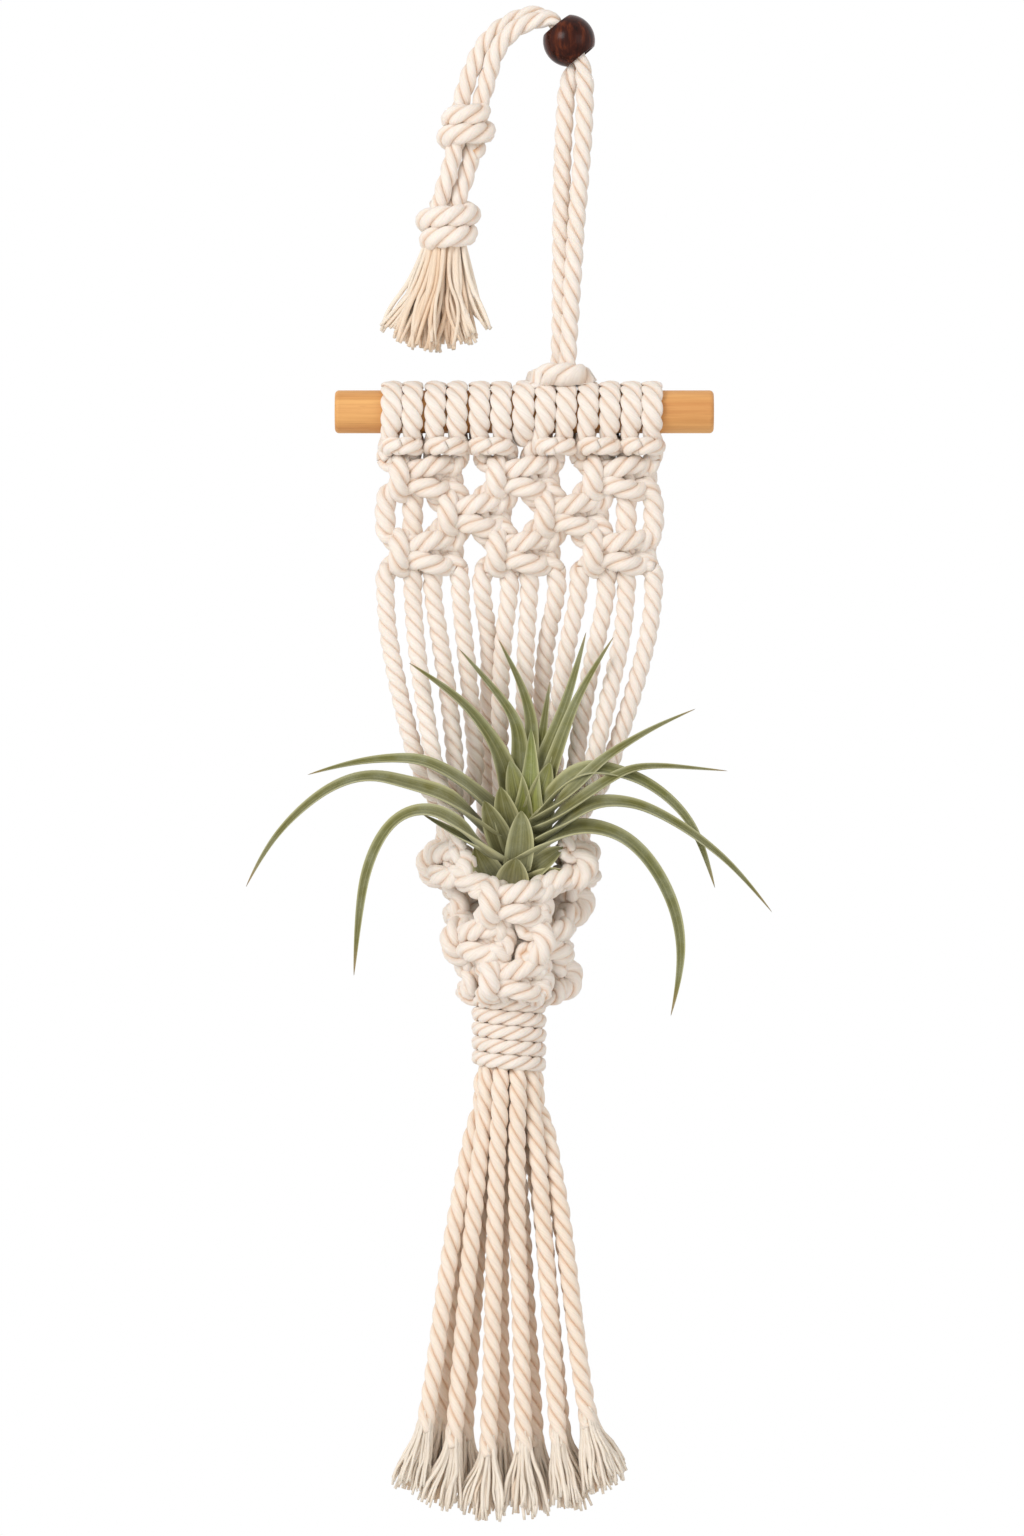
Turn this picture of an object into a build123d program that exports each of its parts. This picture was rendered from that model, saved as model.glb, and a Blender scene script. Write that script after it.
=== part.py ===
from build123d import *
import os
from math import cos, pi, radians, sin, sqrt, tan

os.makedirs("parts", exist_ok=True)

# Driving dimensions, in millimetres. photo_scale is the real length that one pixel of the photograph spans.
photo_scale = 0.28
cord_diameter = 5.0
running_gap = 0.3

dowel_diameter = 12.0
dowel_length = 106.0
dowel_edge_round = 1.2

bead_diameter = 14.6
bead_bore_diameter = 8.0
bead_edge_round = 0.5
pair_diameter = 7.4

wrap_thickness = 2.5
wrap_width = 5.4
wrap_opening = 42.0
wrap_opening_turn = 32.0
head_band_height = 5.2
head_band_px = 447.0
head_band_front_px = 19.0
head_leg_share = 0.96
head_seat_gap = 0.1
hitch_px = 523.0
hitch_wrap_width = 5.2
hitch_opening = 74.0
hitch_band_diameter = 5.2
hitch_stub_length = 6.3

knot_cord_diameter = 4.8
knot_core_diameter = 6.2
hanger_knot_radius = 5.9
hanger_knot_pitch = 5.3
hanger_knot_start_share = 0.4

gather_cord_diameter = 3.4
gather_turns = 4.25
gather_pitch = 3.85
gather_radius = 9.1
gather_core_radius = 7.0
gather_start_share = 0.62
basket_foot_radius = 12.0
basket_foot_height = 1.2

tail_ball_radius = 5.4
tail_swing_limit = 20.0
tail_head_radius = 10.6
tail_head_depth = 7.0
tail_first_run = 3.6
outer_ring_share = 1.53
inner_ring_share = 0.6
fray_length = 17.0
fray_end_diameter = 7.0

# Places in the photograph, in pixels. The origin is where the hanger loop rests on its hook.
origin_px = (535.0, 33.8)
dowel_px = (524.3, 412.0)
bead_px = (569.0, 41.0)
bead_tilt = 38.0
ring_axis_px = 513.0
gather_axis_px = 509.0

# The square knots of the flat panel: first row's height, and the middle of the pattern
panel_middle_px = 519.5
panel_row_px = 478.0
row_pitch_share = 2.09
knot_pitch_share = 5.42

# Shares of the cord's diameter that shape a square knot
filler_share = 0.56
bar_rise_share = 0.48
bar_front_share = 0.56
bar_back_share = 0.46
bar_reach_share = 1.25
bar_slope_share = 0.04
bump_side_share = 1.42
bump_radius_share = 0.56
near_depth_share = 0.7
bar_share = 0.97
leg_share = 0.94
bar_end_share = 1.04
bar_start_share = 1.07
bump_share = 0.96
knot_height_share = 1.045
short_height_share = 0.6
ball_turn = (35.0, 25.0, 15.0)
panel_exit_share = 2.1
basket_exit_share = 1.6

# Side cords: straight runs at the two ends, and the round of the upper end
first_run = 6.8
last_run = 6.2
dome_share = 0.96

# The air plant
leaf_keel_share = 0.14
leaf_thickness = 1.7
leaf_tip_thickness = 0.9
leaf_taper = 0.7
leaf_facing = (0.0, -0.6, 0.8)
core_sides = 8

# The basket's four rows: height in the photograph, radius of the filler cords, bearings of the three knots
basket_rows = [
    ("top", 864.0, 17.9, (90.0, 195.0, 345.0)),
    ("upper", 902.2, 14.0, (270.0, 30.0, 150.0)),
    ("lower", 940.4, 12.0, (90.0, 210.0, 330.0)),
    ("bottom", 978.6, 10.2, (270.0, 30.0, 150.0)),
]

cord = cord_diameter
half_cord = cord_diameter / 2


def spot(px, py, front=0.0):
    """A place in the photograph and its depth towards the viewer, all in pixels, as a point of the part."""
    across = (px - origin_px[0]) * photo_scale
    up = (origin_px[1] - py) * photo_scale
    return Vector(across, -front * photo_scale, up)


def corner_radii(points):
    """The arc of each corner: 0.45 of its shorter run over the tangent of half the turn."""
    radii = []
    for before, corner, after in zip(points, points[1:], points[2:]):
        first = corner - before
        second = after - corner
        half_turn = radians(first.get_angle(second)) / 2
        radii.append(0.45 * min(first.length, second.length) / tan(half_turn))
    return radii


def tube(points, diameter, label=None):
    """A cord laid along straight runs joined by tangent arcs."""
    radii = corner_radii(points)
    path = FilletPolyline(*points, radius=radii)
    section = Plane(origin=points[0], z_dir=points[1] - points[0]) * Circle(diameter / 2)
    body = sweep(section, path=path)
    if label:
        expected = path.length * pi * diameter**2 / 4
        print(label, "length", round(path.length, 1), "least radius", round(min(radii), 1), end=" ")
        print("volume share", round(body.volume / expected, 4))
    return body


def rod(start, end, diameter):
    """A straight stretch of cord between two points."""
    run = end - start
    from_end = (Align.CENTER, Align.CENTER, Align.MIN)
    return Plane(origin=start, z_dir=run) * Cylinder(diameter / 2, run.length, align=from_end)


def ball(centre, diameter):
    """A ball whose seam and poles lie clear of the cords that meet in it."""
    return Location(centre, ball_turn) * Sphere(diameter / 2)


def keep(name, shape):
    """Writes one node."""
    solids = shape if isinstance(shape, list) else [shape]
    kept = [solid for piece in solids for solid in piece.solids()]
    node = kept[0] if len(kept) == 1 else Compound(children=kept)
    node.label = name
    export_step(node, "parts/" + name + ".step")


def biarc(start, start_way, end, end_way):
    """Two arcs that leave start along start_way, reach end along end_way and meet smoothly."""
    chord = end - start
    ways = start_way + end_way
    bend = 2 * (1 - start_way.dot(end_way))
    along = chord.dot(ways)
    handle = (sqrt(along**2 + bend * chord.dot(chord)) - along) / bend
    first_handle = start + start_way * handle
    last_handle = end - end_way * handle
    middle = (first_handle + last_handle) / 2
    middle_way = (last_handle - first_handle).normalized()
    first = TangentArc(start, middle, tangent=start_way)
    second = TangentArc(middle, end, tangent=middle_way)
    return [first, second]


def winding(label, radius, pitch, turns, diameter, start_turn=0.0):
    """One unbroken cord wound downwards about Z from z = 0, in quarter turns, with straight ends."""
    quarter = pi / 2
    steps = round(turns * 4)

    def place(step):
        angle = start_turn * 2 * pi + step * quarter
        return Vector(radius * cos(angle), radius * sin(angle), -pitch * step / 4)

    def way(step):
        angle = start_turn * 2 * pi + step * quarter
        return Vector(-radius * sin(angle), radius * cos(angle), -pitch / (2 * pi)).normalized()

    first, last = place(0), place(steps)
    edges = [Line(first - way(0) * diameter, first)]
    for step in range(steps):
        edges += biarc(place(step), way(step), place(step + 1), way(step + 1))
    edges.append(Line(last, last + way(steps) * diameter))
    path = Wire([edge.edge() for edge in edges])
    section = Plane(origin=first - way(0) * diameter, z_dir=way(0)) * Circle(diameter / 2)
    slope = cos(pitch / (2 * pi * radius))
    print(label, "length", round(path.length, 1), "least gap to itself", round(pitch * slope - diameter, 2))
    return sweep(section, path=path)


def square_knot(exit_share, top_share, bottom_share):
    """One square knot about the origin, facing -Y: two filler cords, and two working cords tied round them."""

    def at(across_share, up_share, front_share):
        return Vector(across_share * cord, -front_share * cord, up_share * cord)

    pieces = []
    for side in (-1, 1):
        pieces.append(rod(at(side * filler_share, top_share, 0), at(side * filler_share, -bottom_share, 0), cord))
    for level in (-1, 1):
        rise = level * bar_rise_share
        spread = level * (bar_rise_share + bar_slope_share)
        entry = level * (top_share if level > 0 else bottom_share)
        # A bar in front from the left working cord, and one behind from the right working cord
        for side, depth in ((-1, bar_front_share), (1, -bar_back_share)):
            near = at(side * bar_reach_share, rise, depth * near_depth_share)
            far = at(-side * bar_reach_share, spread, depth)
            outer = at(side * exit_share, entry, 0)
            shoulder = at(side * exit_share, rise, 0)
            pieces.append(rod(near, far, cord * bar_share))
            pieces.append(ball(far, cord * bar_end_share))
            pieces.append(rod(outer, shoulder, cord * leg_share))
            pieces.append(ball(shoulder, cord))
            pieces.append(rod(shoulder, near, cord * leg_share))
            pieces.append(ball(near, cord * bar_start_share))
    # The closed end of each working cord crosses the other one: in front at the left, behind at the right
    for side in (-1, 1):
        across = side * bump_side_share * cord
        section = Plane.XZ * Pos(across, bump_radius_share * cord) * Circle(half_cord * bump_share)
        pieces.append(revolve(section, Axis((across, 0, 0), (1, 0, 0)), -side * 180.0))
    return pieces[0].fuse(*pieces[1:])


def ring_location(bearing, radius, height):
    """Where a knot stands on the basket's ring: its back to the axis, its middle at radius."""
    turn = bearing - 270.0
    middle = Vector(radius * cos(radians(bearing)), radius * sin(radians(bearing)), 0)
    centre = spot(ring_axis_px, 0) + middle
    return Location((centre.X, centre.Y, height), (0, 0, turn))


def make_dowel():
    body = Rotation(0, 90, 0) * Cylinder(dowel_diameter / 2, dowel_length)
    body = fillet(body.edges().filter_by(GeomType.CIRCLE), dowel_edge_round)
    keep("dowel", Location(spot(*dowel_px)) * body)


def make_bead():
    bore = Cylinder(bead_bore_diameter / 2, bead_diameter * 2)
    body = Sphere(bead_diameter / 2) - bore
    rims = body.edges().filter_by(GeomType.CIRCLE).sort_by(Axis.Z)
    body = fillet([rims[0], rims[-1]], bead_edge_round)
    keep("bead", Location(spot(*bead_px), (0, -bead_tilt, 0)) * body)


# Routes of the hanger's cords, in pixels of the photograph: across, down, towards the viewer
bead_line = (sin(radians(bead_tilt)), cos(radians(bead_tilt)))
bead_reach_px = 29.0
loop_route = [
    (581.0, 92.0, 0.0),
    (583.5, 83.0, 0.0),
    (bead_px[0] + bead_line[0] * bead_reach_px, bead_px[1] + bead_line[1] * bead_reach_px, 0.0),
    (bead_px[0] - bead_line[0] * bead_reach_px, bead_px[1] - bead_line[1] * bead_reach_px, 0.0),
    (531.0, 20.5, 0.0),
    (510.0, 27.0, 1.0),
    (493.0, 43.0, 0.0),
    (482.0, 66.0, -1.0),
    (474.0, 88.0, 0.0),
    (470.0, 110.0, 0.0),
]
left_drop_route = [
    (573.0, 84.0, -1.0),
    (567.5, 112.0, -1.5),
    (564.0, 160.0, -2.0),
    (561.0, 225.0, -5.0),
    (560.0, 290.0, -7.0),
    (559.5, 352.0, -9.0),
]
right_drop_route = [
    (590.0, 84.0, 1.0),
    (586.0, 112.0, 1.0),
    (582.5, 160.0, 1.5),
    (577.0, 225.0, 5.0),
    (573.0, 290.0, 7.0),
    (568.0, 352.0, 9.0),
]
knot_core_route = [
    (470.0, 110.0, 0.0),
    (465.0, 137.5, 0.0),
    (456.0, 176.0, 1.0),
    (447.0, 222.0, 0.0),
    (447.0, 250.0, 0.0),
]
knot_link_routes = [
    [(453.5, 154.0, 3.0), (448.5, 176.0, 5.0), (441.5, 200.0, 3.0)],
    [(471.5, 156.0, -3.0), (465.0, 180.0, -5.0), (457.0, 203.0, -3.0)],
]


def route(points):
    return [spot(*point) for point in points]


def make_hanger_cords():
    """The pair from the upper knot, over the hook, through the bead and down to the dowel."""
    loop = tube(route(loop_route), pair_diameter, "hanger loop")
    left = tube(route(left_drop_route), cord, "left drop")
    right = tube(route(right_drop_route), cord, "right drop")
    keep("hanger_cords", loop.fuse(left, right))


def make_hanger_knots():
    """The pair's core between and through the two knots, and the turns of each knot."""
    core = tube(route(knot_core_route), knot_core_diameter, "knot core")
    links = [tube(route(points), cord, "knot link") for points in knot_link_routes]
    core = core.fuse(*links)
    for name, place, lean in hanger_knots:
        turns = winding(name, hanger_knot_radius, hanger_knot_pitch, 2, knot_cord_diameter, hanger_knot_start_share)
        turns = Location(spot(*place), (0, lean, 0)) * Pos(0, 0, hanger_knot_pitch) * turns
        keep(name, turns)
        core -= turns
    keep("hanger_knot_core", core)


hanger_knots = [
    ("hanger_knot_upper", (467.0, 136.0), 12.0),
    ("hanger_knot_lower", (448.5, 220.0), 8.0),
]

# The hanger's tassel: height, middle, half width and half depth of each section, in pixels
tassel_sections = [
    (250.0, 445.0, 21.0, 12.0),
    (272.0, 444.0, 29.0, 15.0),
    (300.0, 440.0, 41.0, 19.0),
    (338.0, 436.0, 52.0, 22.0),
]


def make_tassel():
    faces = []
    for down, across, half_width, half_depth in tassel_sections:
        plane = Plane(origin=spot(across, down), x_dir=(1, 0, 0), z_dir=(0, 0, 1))
        faces.append(plane * Ellipse(half_width * photo_scale, half_depth * photo_scale))
    keep("hanger_tassel", loft(faces))


def dowel_wrap(px, width, opening, opening_turn):
    """A flattened turn of cord over the dowel, open under it, opening_turn degrees towards the front."""
    inner = dowel_diameter / 2 + running_gap
    middle = inner + wrap_thickness / 2
    across = spot(px, dowel_px[1])
    section = Plane.XZ * Pos(0, -middle) * Ellipse(width / 2, wrap_thickness / 2)
    turn = revolve(section, Axis((0, 0, 0), (1, 0, 0)), -(360.0 - opening))
    return Location(across, (-opening_turn - opening / 2, 0, 0)) * turn


def make_hitch():
    """The hanger pair's own turn over the dowel, and its collar round the pair on top."""
    ring = dowel_wrap(hitch_px, hitch_wrap_width, hitch_opening, 0.0)
    collar = [tube(route(points), hitch_band_diameter, "hitch collar") for points in hitch_routes]
    stubs = []
    for points in (left_drop_route, right_drop_route):
        before, end = route(points[-2:])
        stubs.append(rod(end, end + (end - before).normalized() * hitch_stub_length, cord))
    keep("hanger_hitch", ring.fuse(*collar, *stubs))


hitch_routes = [
    [(523.0, 384.0, 8.0), (530.0, 372.0, 14.0), (550.0, 369.5, 17.0), (572.0, 369.5, 16.0), (586.0, 369.5, 4.0)],
    [(523.0, 384.0, -8.0), (530.0, 372.0, -14.0), (550.0, 369.5, -17.0), (572.0, 369.5, -16.0), (586.0, 369.5, -4.0)],
]

# The lark's heads: the two wraps of each, and the entries of the first row of knots that they feed
head_wraps = [(392.0, 412.5), (435.5, 457.0), (479.5, 501.0), (545.5, 566.0), (588.0, 609.5), (631.0, 651.5)]


def panel_centre(row, column):
    """The middle of a panel knot: column counts half pitches from the pattern's middle."""
    middle = spot(panel_middle_px, panel_row_px)
    return middle + Vector(column * knot_pitch_share * cord / 2, 0, -row * row_pitch_share * cord)


def make_heads():
    entries = []
    for column in (-2, 0, 2):
        centre = panel_centre(0, column)
        for share in (-panel_exit_share, -filler_share, filler_share, panel_exit_share):
            entries.append(centre.X + share * cord)
    entry_height = panel_centre(0, 0).Z + knot_height_share * cord
    leg_top = spot(0, dowel_px[1]).Z - dowel_diameter / 2 - running_gap - wrap_thickness - head_seat_gap
    band_depth = -head_band_front_px * photo_scale
    for number, pair in enumerate(head_wraps):
        pieces = [dowel_wrap(px, wrap_width, wrap_opening, wrap_opening_turn) for px in pair]
        reach = Vector(wrap_width / 2, 0, 0)
        left = Vector(spot(pair[0], 0).X, band_depth, spot(0, head_band_px).Z) - reach
        right = Vector(spot(pair[1], 0).X, band_depth, left.Z) + reach
        band = rod(left, right, head_band_height)
        pieces.append(fillet(band.edges().filter_by(GeomType.CIRCLE), head_band_height / 2 * dome_share))
        for entry in entries[2 * number : 2 * number + 2]:
            pieces.append(rod(Vector(entry, 0, leg_top), Vector(entry, 0, entry_height), cord * head_leg_share))
        keep("larks_head_" + str(number + 1), pieces)


def make_panel():
    knot = square_knot(panel_exit_share, knot_height_share, knot_height_share)
    rows = [(-2, 0, 2), (-1, 1), (-2, 0, 2)]
    for row, columns in enumerate(rows):
        for number, column in enumerate(columns):
            name = "panel_knot_row" + str(row + 1) + "_" + str(number + 1)
            keep(name, Location(panel_centre(row, column)) * knot)
    # The two outer cords at each edge pass the middle row without a knot
    for name, side in (("panel_edge_cords_left", -1), ("panel_edge_cords_right", 1)):
        cords = []
        for share in (filler_share, panel_exit_share):
            top = panel_centre(0, 2 * side) + Vector(side * share * cord, 0, -knot_height_share * cord)
            bottom = panel_centre(2, 2 * side) + Vector(side * share * cord, 0, knot_height_share * cord)
            cords.append(rod(top, bottom, cord))
        keep(name, cords)


# Side cords: name, column and exit of the panel knot, bearing and entry of the basket knot, and the hand-chosen
# points between, in pixels
side_cords = [
    ("left_1", -2, -panel_exit_share, 195.0, filler_share, [
        (388.5, 640, 5), (404.0, 715, 12), (424.0, 785, 16),
    ]),
    ("left_2", -2, -filler_share, 195.0, basket_exit_share, [
        (415.5, 640, 10), (426.0, 715, 22), (438.0, 785, 36),
    ]),
    ("left_3", -2, filler_share, 195.0, -filler_share, [
        (440.0, 640, 0), (451.5, 715, 3), (457.0, 785, 4),
    ]),
    ("left_4", -2, panel_exit_share, 195.0, -basket_exit_share, [
        (464.5, 640, -8), (472.5, 715, -18), (478.0, 785, -29),
    ]),
    ("back_1", 0, -panel_exit_share, 90.0, basket_exit_share, [
        (490.0, 640, -22), (488.5, 715, -45), (485.5, 785, -60),
    ]),
    ("back_2", 0, -filler_share, 90.0, filler_share, [
        (503.0, 640, -7), (499.0, 715, -24), (501.0, 785, -46),
    ]),
    ("back_3", 0, filler_share, 90.0, -filler_share, [
        (526.0, 640, -8), (524.0, 715, -25), (522.5, 785, -47),
    ]),
    ("back_4", 0, panel_exit_share, 90.0, -basket_exit_share, [
        (546.0, 640, -23), (540.5, 715, -46), (541.0, 785, -61),
    ]),
    ("right_4", 2, -panel_exit_share, 345.0, basket_exit_share, [
        (568.0, 640, -8), (557.0, 715, -18), (553.5, 785, -29),
    ]),
    ("right_3", 2, -filler_share, 345.0, filler_share, [
        (597.0, 640, 0), (581.5, 715, 3), (573.0, 785, 4),
    ]),
    ("right_2", 2, filler_share, 345.0, -basket_exit_share, [
        (622.0, 640, 10), (604.0, 715, 22), (587.5, 785, 36),
    ]),
    ("right_1", 2, panel_exit_share, 345.0, -filler_share, [
        (648.0, 640, 5), (627.0, 715, 12), (603.0, 785, 16),
    ]),
]


def knot_point(location, across_share, up_share):
    """A point of a knot's own plane, in the part's frame."""
    return (location * Location((across_share * cord, 0, up_share * cord))).position


def basket_locations():
    places = {}
    for name, down, radius, bearings in basket_rows:
        height = spot(0, down).Z
        places[name] = {bearing: ring_location(bearing, radius, height) for bearing in bearings}
    return places


def make_side_cords():
    places = basket_locations()
    for name, column, exit_share, bearing, entry_share, between in side_cords:
        centre = panel_centre(2, column)
        start = centre + Vector(exit_share * cord, 0, -knot_height_share * cord - running_gap)
        end = knot_point(places["top"][bearing], entry_share, knot_height_share)
        points = [start, start - Vector(0, 0, first_run)]
        points += route(between)
        points += [end + Vector(0, 0, last_run), end]
        body = tube(points, cord, "side cord " + name)
        top = body.edges().filter_by(GeomType.CIRCLE).sort_by(Axis.Z)[-1]
        keep("side_cord_" + name, fillet(top, half_cord * dome_share))


def make_basket():
    """Three knots in each of four rounds."""
    places = basket_locations()
    shapes = {
        "top": square_knot(basket_exit_share, knot_height_share, short_height_share),
        "upper": square_knot(basket_exit_share, short_height_share, short_height_share),
    }
    shapes["lower"] = shapes["upper"]
    shapes["bottom"] = square_knot(basket_exit_share, short_height_share, knot_height_share)
    for name, down, radius, bearings in basket_rows:
        for number, bearing in enumerate(bearings):
            keep("basket_knot_" + name + "_" + str(number + 1), places[name][bearing] * shapes[name])


def make_gathering():
    """The cords drawn together under the basket, and the cord wound round them."""
    last_row = basket_rows[-1]
    top = spot(gather_axis_px, last_row[1]).Z - knot_height_share * cord
    centre = spot(gather_axis_px, 0).X
    wrap_top = top - basket_foot_height - gather_cord_diameter / 2
    wrap_bottom = wrap_top - gather_turns * gather_pitch - gather_cord_diameter / 2
    core_bottom = wrap_bottom + tail_ball_radius + running_gap
    with BuildPart() as core:
        with BuildSketch(Plane.XZ):
            with BuildLine():
                Polyline(
                    (0, top),
                    (basket_foot_radius, top),
                    (gather_core_radius, top - basket_foot_height),
                    (gather_core_radius, core_bottom),
                    (0, core_bottom),
                    close=True,
                )
            make_face()
        revolve(axis=Axis.Z)
    keep("gathered_cords", Pos(centre, 0, 0) * core.part)
    wrap = winding("gathering_wrap", gather_radius, gather_pitch, gather_turns, gather_cord_diameter, gather_start_share)
    keep("gathering_wrap", Pos(centre, 0, wrap_top) * wrap)
    return centre, wrap_bottom


def make_tail(centre, pivot):
    """The bunch that turns under the wrap, and its twelve cords with frayed ends."""
    limit = radians(tail_swing_limit)
    rise = tail_head_radius * tan(limit) + running_gap
    waist = (tail_ball_radius * cos(limit), -tail_ball_radius * sin(limit))
    with BuildPart() as head:
        with BuildSketch(Plane.XZ):
            with BuildLine():
                ThreePointArc(
                    (0, tail_ball_radius),
                    (tail_ball_radius * sin(pi / 4), tail_ball_radius * cos(pi / 4)),
                    waist,
                )
                Polyline(
                    waist,
                    (tail_head_radius, -rise),
                    (tail_head_radius, -tail_head_depth),
                    (0, -tail_head_depth),
                    (0, tail_ball_radius),
                )
            make_face()
        revolve(axis=Axis.Z)
    keep("tail_head", Pos(centre, 0, pivot) * head.part)
    top = pivot - tail_head_depth
    for name, bunch in (("front", tail_front), ("back", tail_back)):
        cords = []
        for number, (ring, bearing, points) in enumerate(bunch):
            reach = ring * cord
            start = Vector(centre + reach * cos(radians(bearing)), reach * sin(radians(bearing)), top)
            line = [start, start - Vector(0, 0, tail_first_run)] + route(points)
            body = tube(line, cord, "tail " + name + " " + str(number + 1))
            way = (line[-1] - line[-2]).normalized()
            end = Plane(origin=line[-1], z_dir=way)
            foot = Plane(origin=line[-1] + way * fray_length, z_dir=way)
            fray = loft([end * Circle(half_cord), foot * Circle(fray_end_diameter / 2)])
            cords.append(body.fuse(fray))
        keep("tail_cords_" + name, cords)


# The tail's cords: ring radius in cord diameters and bearing where they leave the bunch, then the points below it
tail_front = [
    (outer_ring_share, 190.0, [
        (478, 1122, 6), (466, 1165, 9), (455, 1221, 12), (443, 1300, 13), (433, 1380, 13),
        (424, 1430, 13),
    ]),
    (outer_ring_share, 230.0, [
        (489, 1122, 20), (481, 1165, 17), (473, 1221, 14), (466, 1300, 13), (459, 1380, 13),
        (453, 1446, 13),
    ]),
    (inner_ring_share, 210.0, [
        (500, 1122, 6), (498, 1165, 10), (495, 1221, 13), (493, 1300, 13), (491, 1380, 13),
        (488, 1455, 13),
    ]),
    (outer_ring_share, 270.0, [
        (510, 1122, 26), (513, 1165, 20), (517, 1221, 15), (520, 1300, 13), (522, 1380, 13),
        (524, 1451, 13),
    ]),
    (outer_ring_share, 310.0, [
        (530, 1122, 21), (536, 1165, 17), (543, 1221, 14), (549, 1300, 13), (554, 1380, 13),
        (559, 1446, 13),
    ]),
    (outer_ring_share, 350.0, [
        (540, 1122, 6), (551, 1165, 9), (563, 1221, 12), (572, 1300, 13), (581, 1380, 13),
        (589, 1426, 13),
    ]),
]
tail_back = [
    (outer_ring_share, 150.0, [
        (481, 1122, -14), (471, 1165, -14), (460, 1221, -13), (451, 1300, -13), (444, 1380, -13),
        (438, 1432, -13),
    ]),
    (outer_ring_share, 110.0, [
        (497, 1122, -26), (490, 1165, -22), (480, 1221, -16), (474, 1300, -14), (469, 1380, -13),
        (464, 1440, -13),
    ]),
    (inner_ring_share, 90.0, [
        (508, 1122, -11), (504, 1165, -12), (501, 1221, -13), (500, 1300, -13), (501, 1380, -13),
        (501, 1448, -13),
    ]),
    (inner_ring_share, 330.0, [
        (519, 1122, 1), (521, 1165, -4), (522, 1221, -10), (526, 1300, -13), (532, 1380, -13),
        (536, 1448, -13),
    ]),
    (outer_ring_share, 70.0, [
        (521, 1122, -26), (530, 1165, -22), (543, 1221, -15), (550, 1300, -13), (557, 1380, -13),
        (563, 1438, -13),
    ]),
    (outer_ring_share, 30.0, [
        (536, 1122, -14), (549, 1165, -14), (561, 1221, -14), (572, 1300, -13), (582, 1380, -13),
        (590, 1424, -13),
    ]),
]


# The air plant's core, in pixels: height, middle, depth and radius of each ring
core_rings = [
    (795.0, 526.0, 8.0, 9.0),
    (812.0, 521.0, 8.0, 18.0),
    (840.0, 516.0, 6.0, 27.0),
    (866.0, 514.0, 3.0, 29.0),
    (884.0, 513.0, 0.0, 25.0),
    (906.0, 513.0, 0.0, 11.0),
]

# Its leaves, in pixels: width at the base, then the middle line from base to tip
leaves = [
    (34, [(503, 818, 12), (476, 788, 38), (431, 761, 60), (400, 757, 60), (350, 762, 52), (308, 775, 44)]),
    (30, [
        (497, 836, 12), (474, 817, 54), (446, 797, 72), (410, 783, 64), (370, 775, 56), (330, 790, 50),
        (290, 823, 44), (247, 887, 38),
    ]),
    (30, [(503, 868, 12), (492, 852, 40), (474, 841, 66), (450, 829, 74), (422, 813, 68)]),
    (30, [(518, 815, 8), (505, 760, 16), (480, 720, 28), (450, 690, 38), (409, 663, 40)]),
    (28, [(520, 812, 6), (521, 756, 8), (517, 720, 14), (492, 686, 20), (459, 649, 22)]),
    (26, [(526, 810, 4), (533, 740, 4), (530, 709, 4), (515, 670, 8), (498, 639, 9)]),
    (22, [(532, 808, 2), (538, 765, 2), (545, 715, 4), (550, 681, 8)]),
    (26, [(532, 810, 8), (540, 762, 14), (568, 702, 24), (586, 632, 26)]),
    (26, [(534, 814, 10), (547, 781, 18), (562, 735, 28), (582, 686, 34), (613.5, 637, 36)]),
    (28, [(525, 815, 14), (532, 788, 20), (532, 764, 18), (531, 736, 14)]),
    (36, [
        (528, 822, 14), (549, 792, 42), (574, 772, 60), (600, 768, 62), (646, 782, 54), (683, 813, 48),
        (714, 888, 42),
    ]),
    (24, [
        (532, 822, 18), (548, 808, 54), (572, 788, 72), (600, 760, 60), (631, 740, 50), (662, 723, 44),
        (695, 709, 40),
    ]),
    (24, [
        (534, 830, 18), (545, 822, 58), (580, 797, 80), (625, 770, 62), (657, 767, 52), (693, 768, 46),
        (727, 771, 42),
    ]),
    (30, [
        (530, 846, 16), (556, 824, 76), (592, 804, 78), (631, 803, 70), (662, 816, 60), (700, 840, 54),
        (740, 875, 48), (771, 912, 44),
    ]),
    (32, [
        (521, 858, 18), (544, 840, 62), (572, 828, 74), (599, 828, 74), (628, 841, 68), (656, 874, 62),
        (676, 920, 58), (680, 970, 54), (669.5, 1015, 52),
    ]),
    (32, [(515, 858, 20), (520, 842, 42), (521, 828, 50), (520, 812, 52)]),
    (30, [(513, 872, 14), (515, 864, 32), (517, 852, 44)]),
    (22, [(522, 854, 16), (537, 841, 36), (552, 824, 46)]),
    (26, [
        (508, 862, 14), (490, 850, 50), (466, 830, 88), (432, 812, 94), (398, 818, 86), (374, 850, 74),
        (360, 900, 64), (355, 975, 56),
    ]),
]


def polyhedron(rings, first_face, last_face):
    """A closed solid of flat triangles between rings of points; a ring of one point is a tip."""
    faces = []
    for ring, following in zip(rings, rings[1:]):
        count = len(ring)
        for place in range(count):
            after = (place + 1) % count
            if len(following) == 1:
                corners = [[ring[place], ring[after], following[0]]]
            else:
                corners = [[ring[place], ring[after], following[place]]]
                corners.append([ring[after], following[after], following[place]])
            faces += [Face(Wire.make_polygon(three)) for three in corners]
    for ring, wanted in ((rings[0], first_face), (rings[-1], last_face)):
        if wanted:
            faces.append(Face(Wire.make_polygon(ring)))
    return Solid(Shell(faces))


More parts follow.
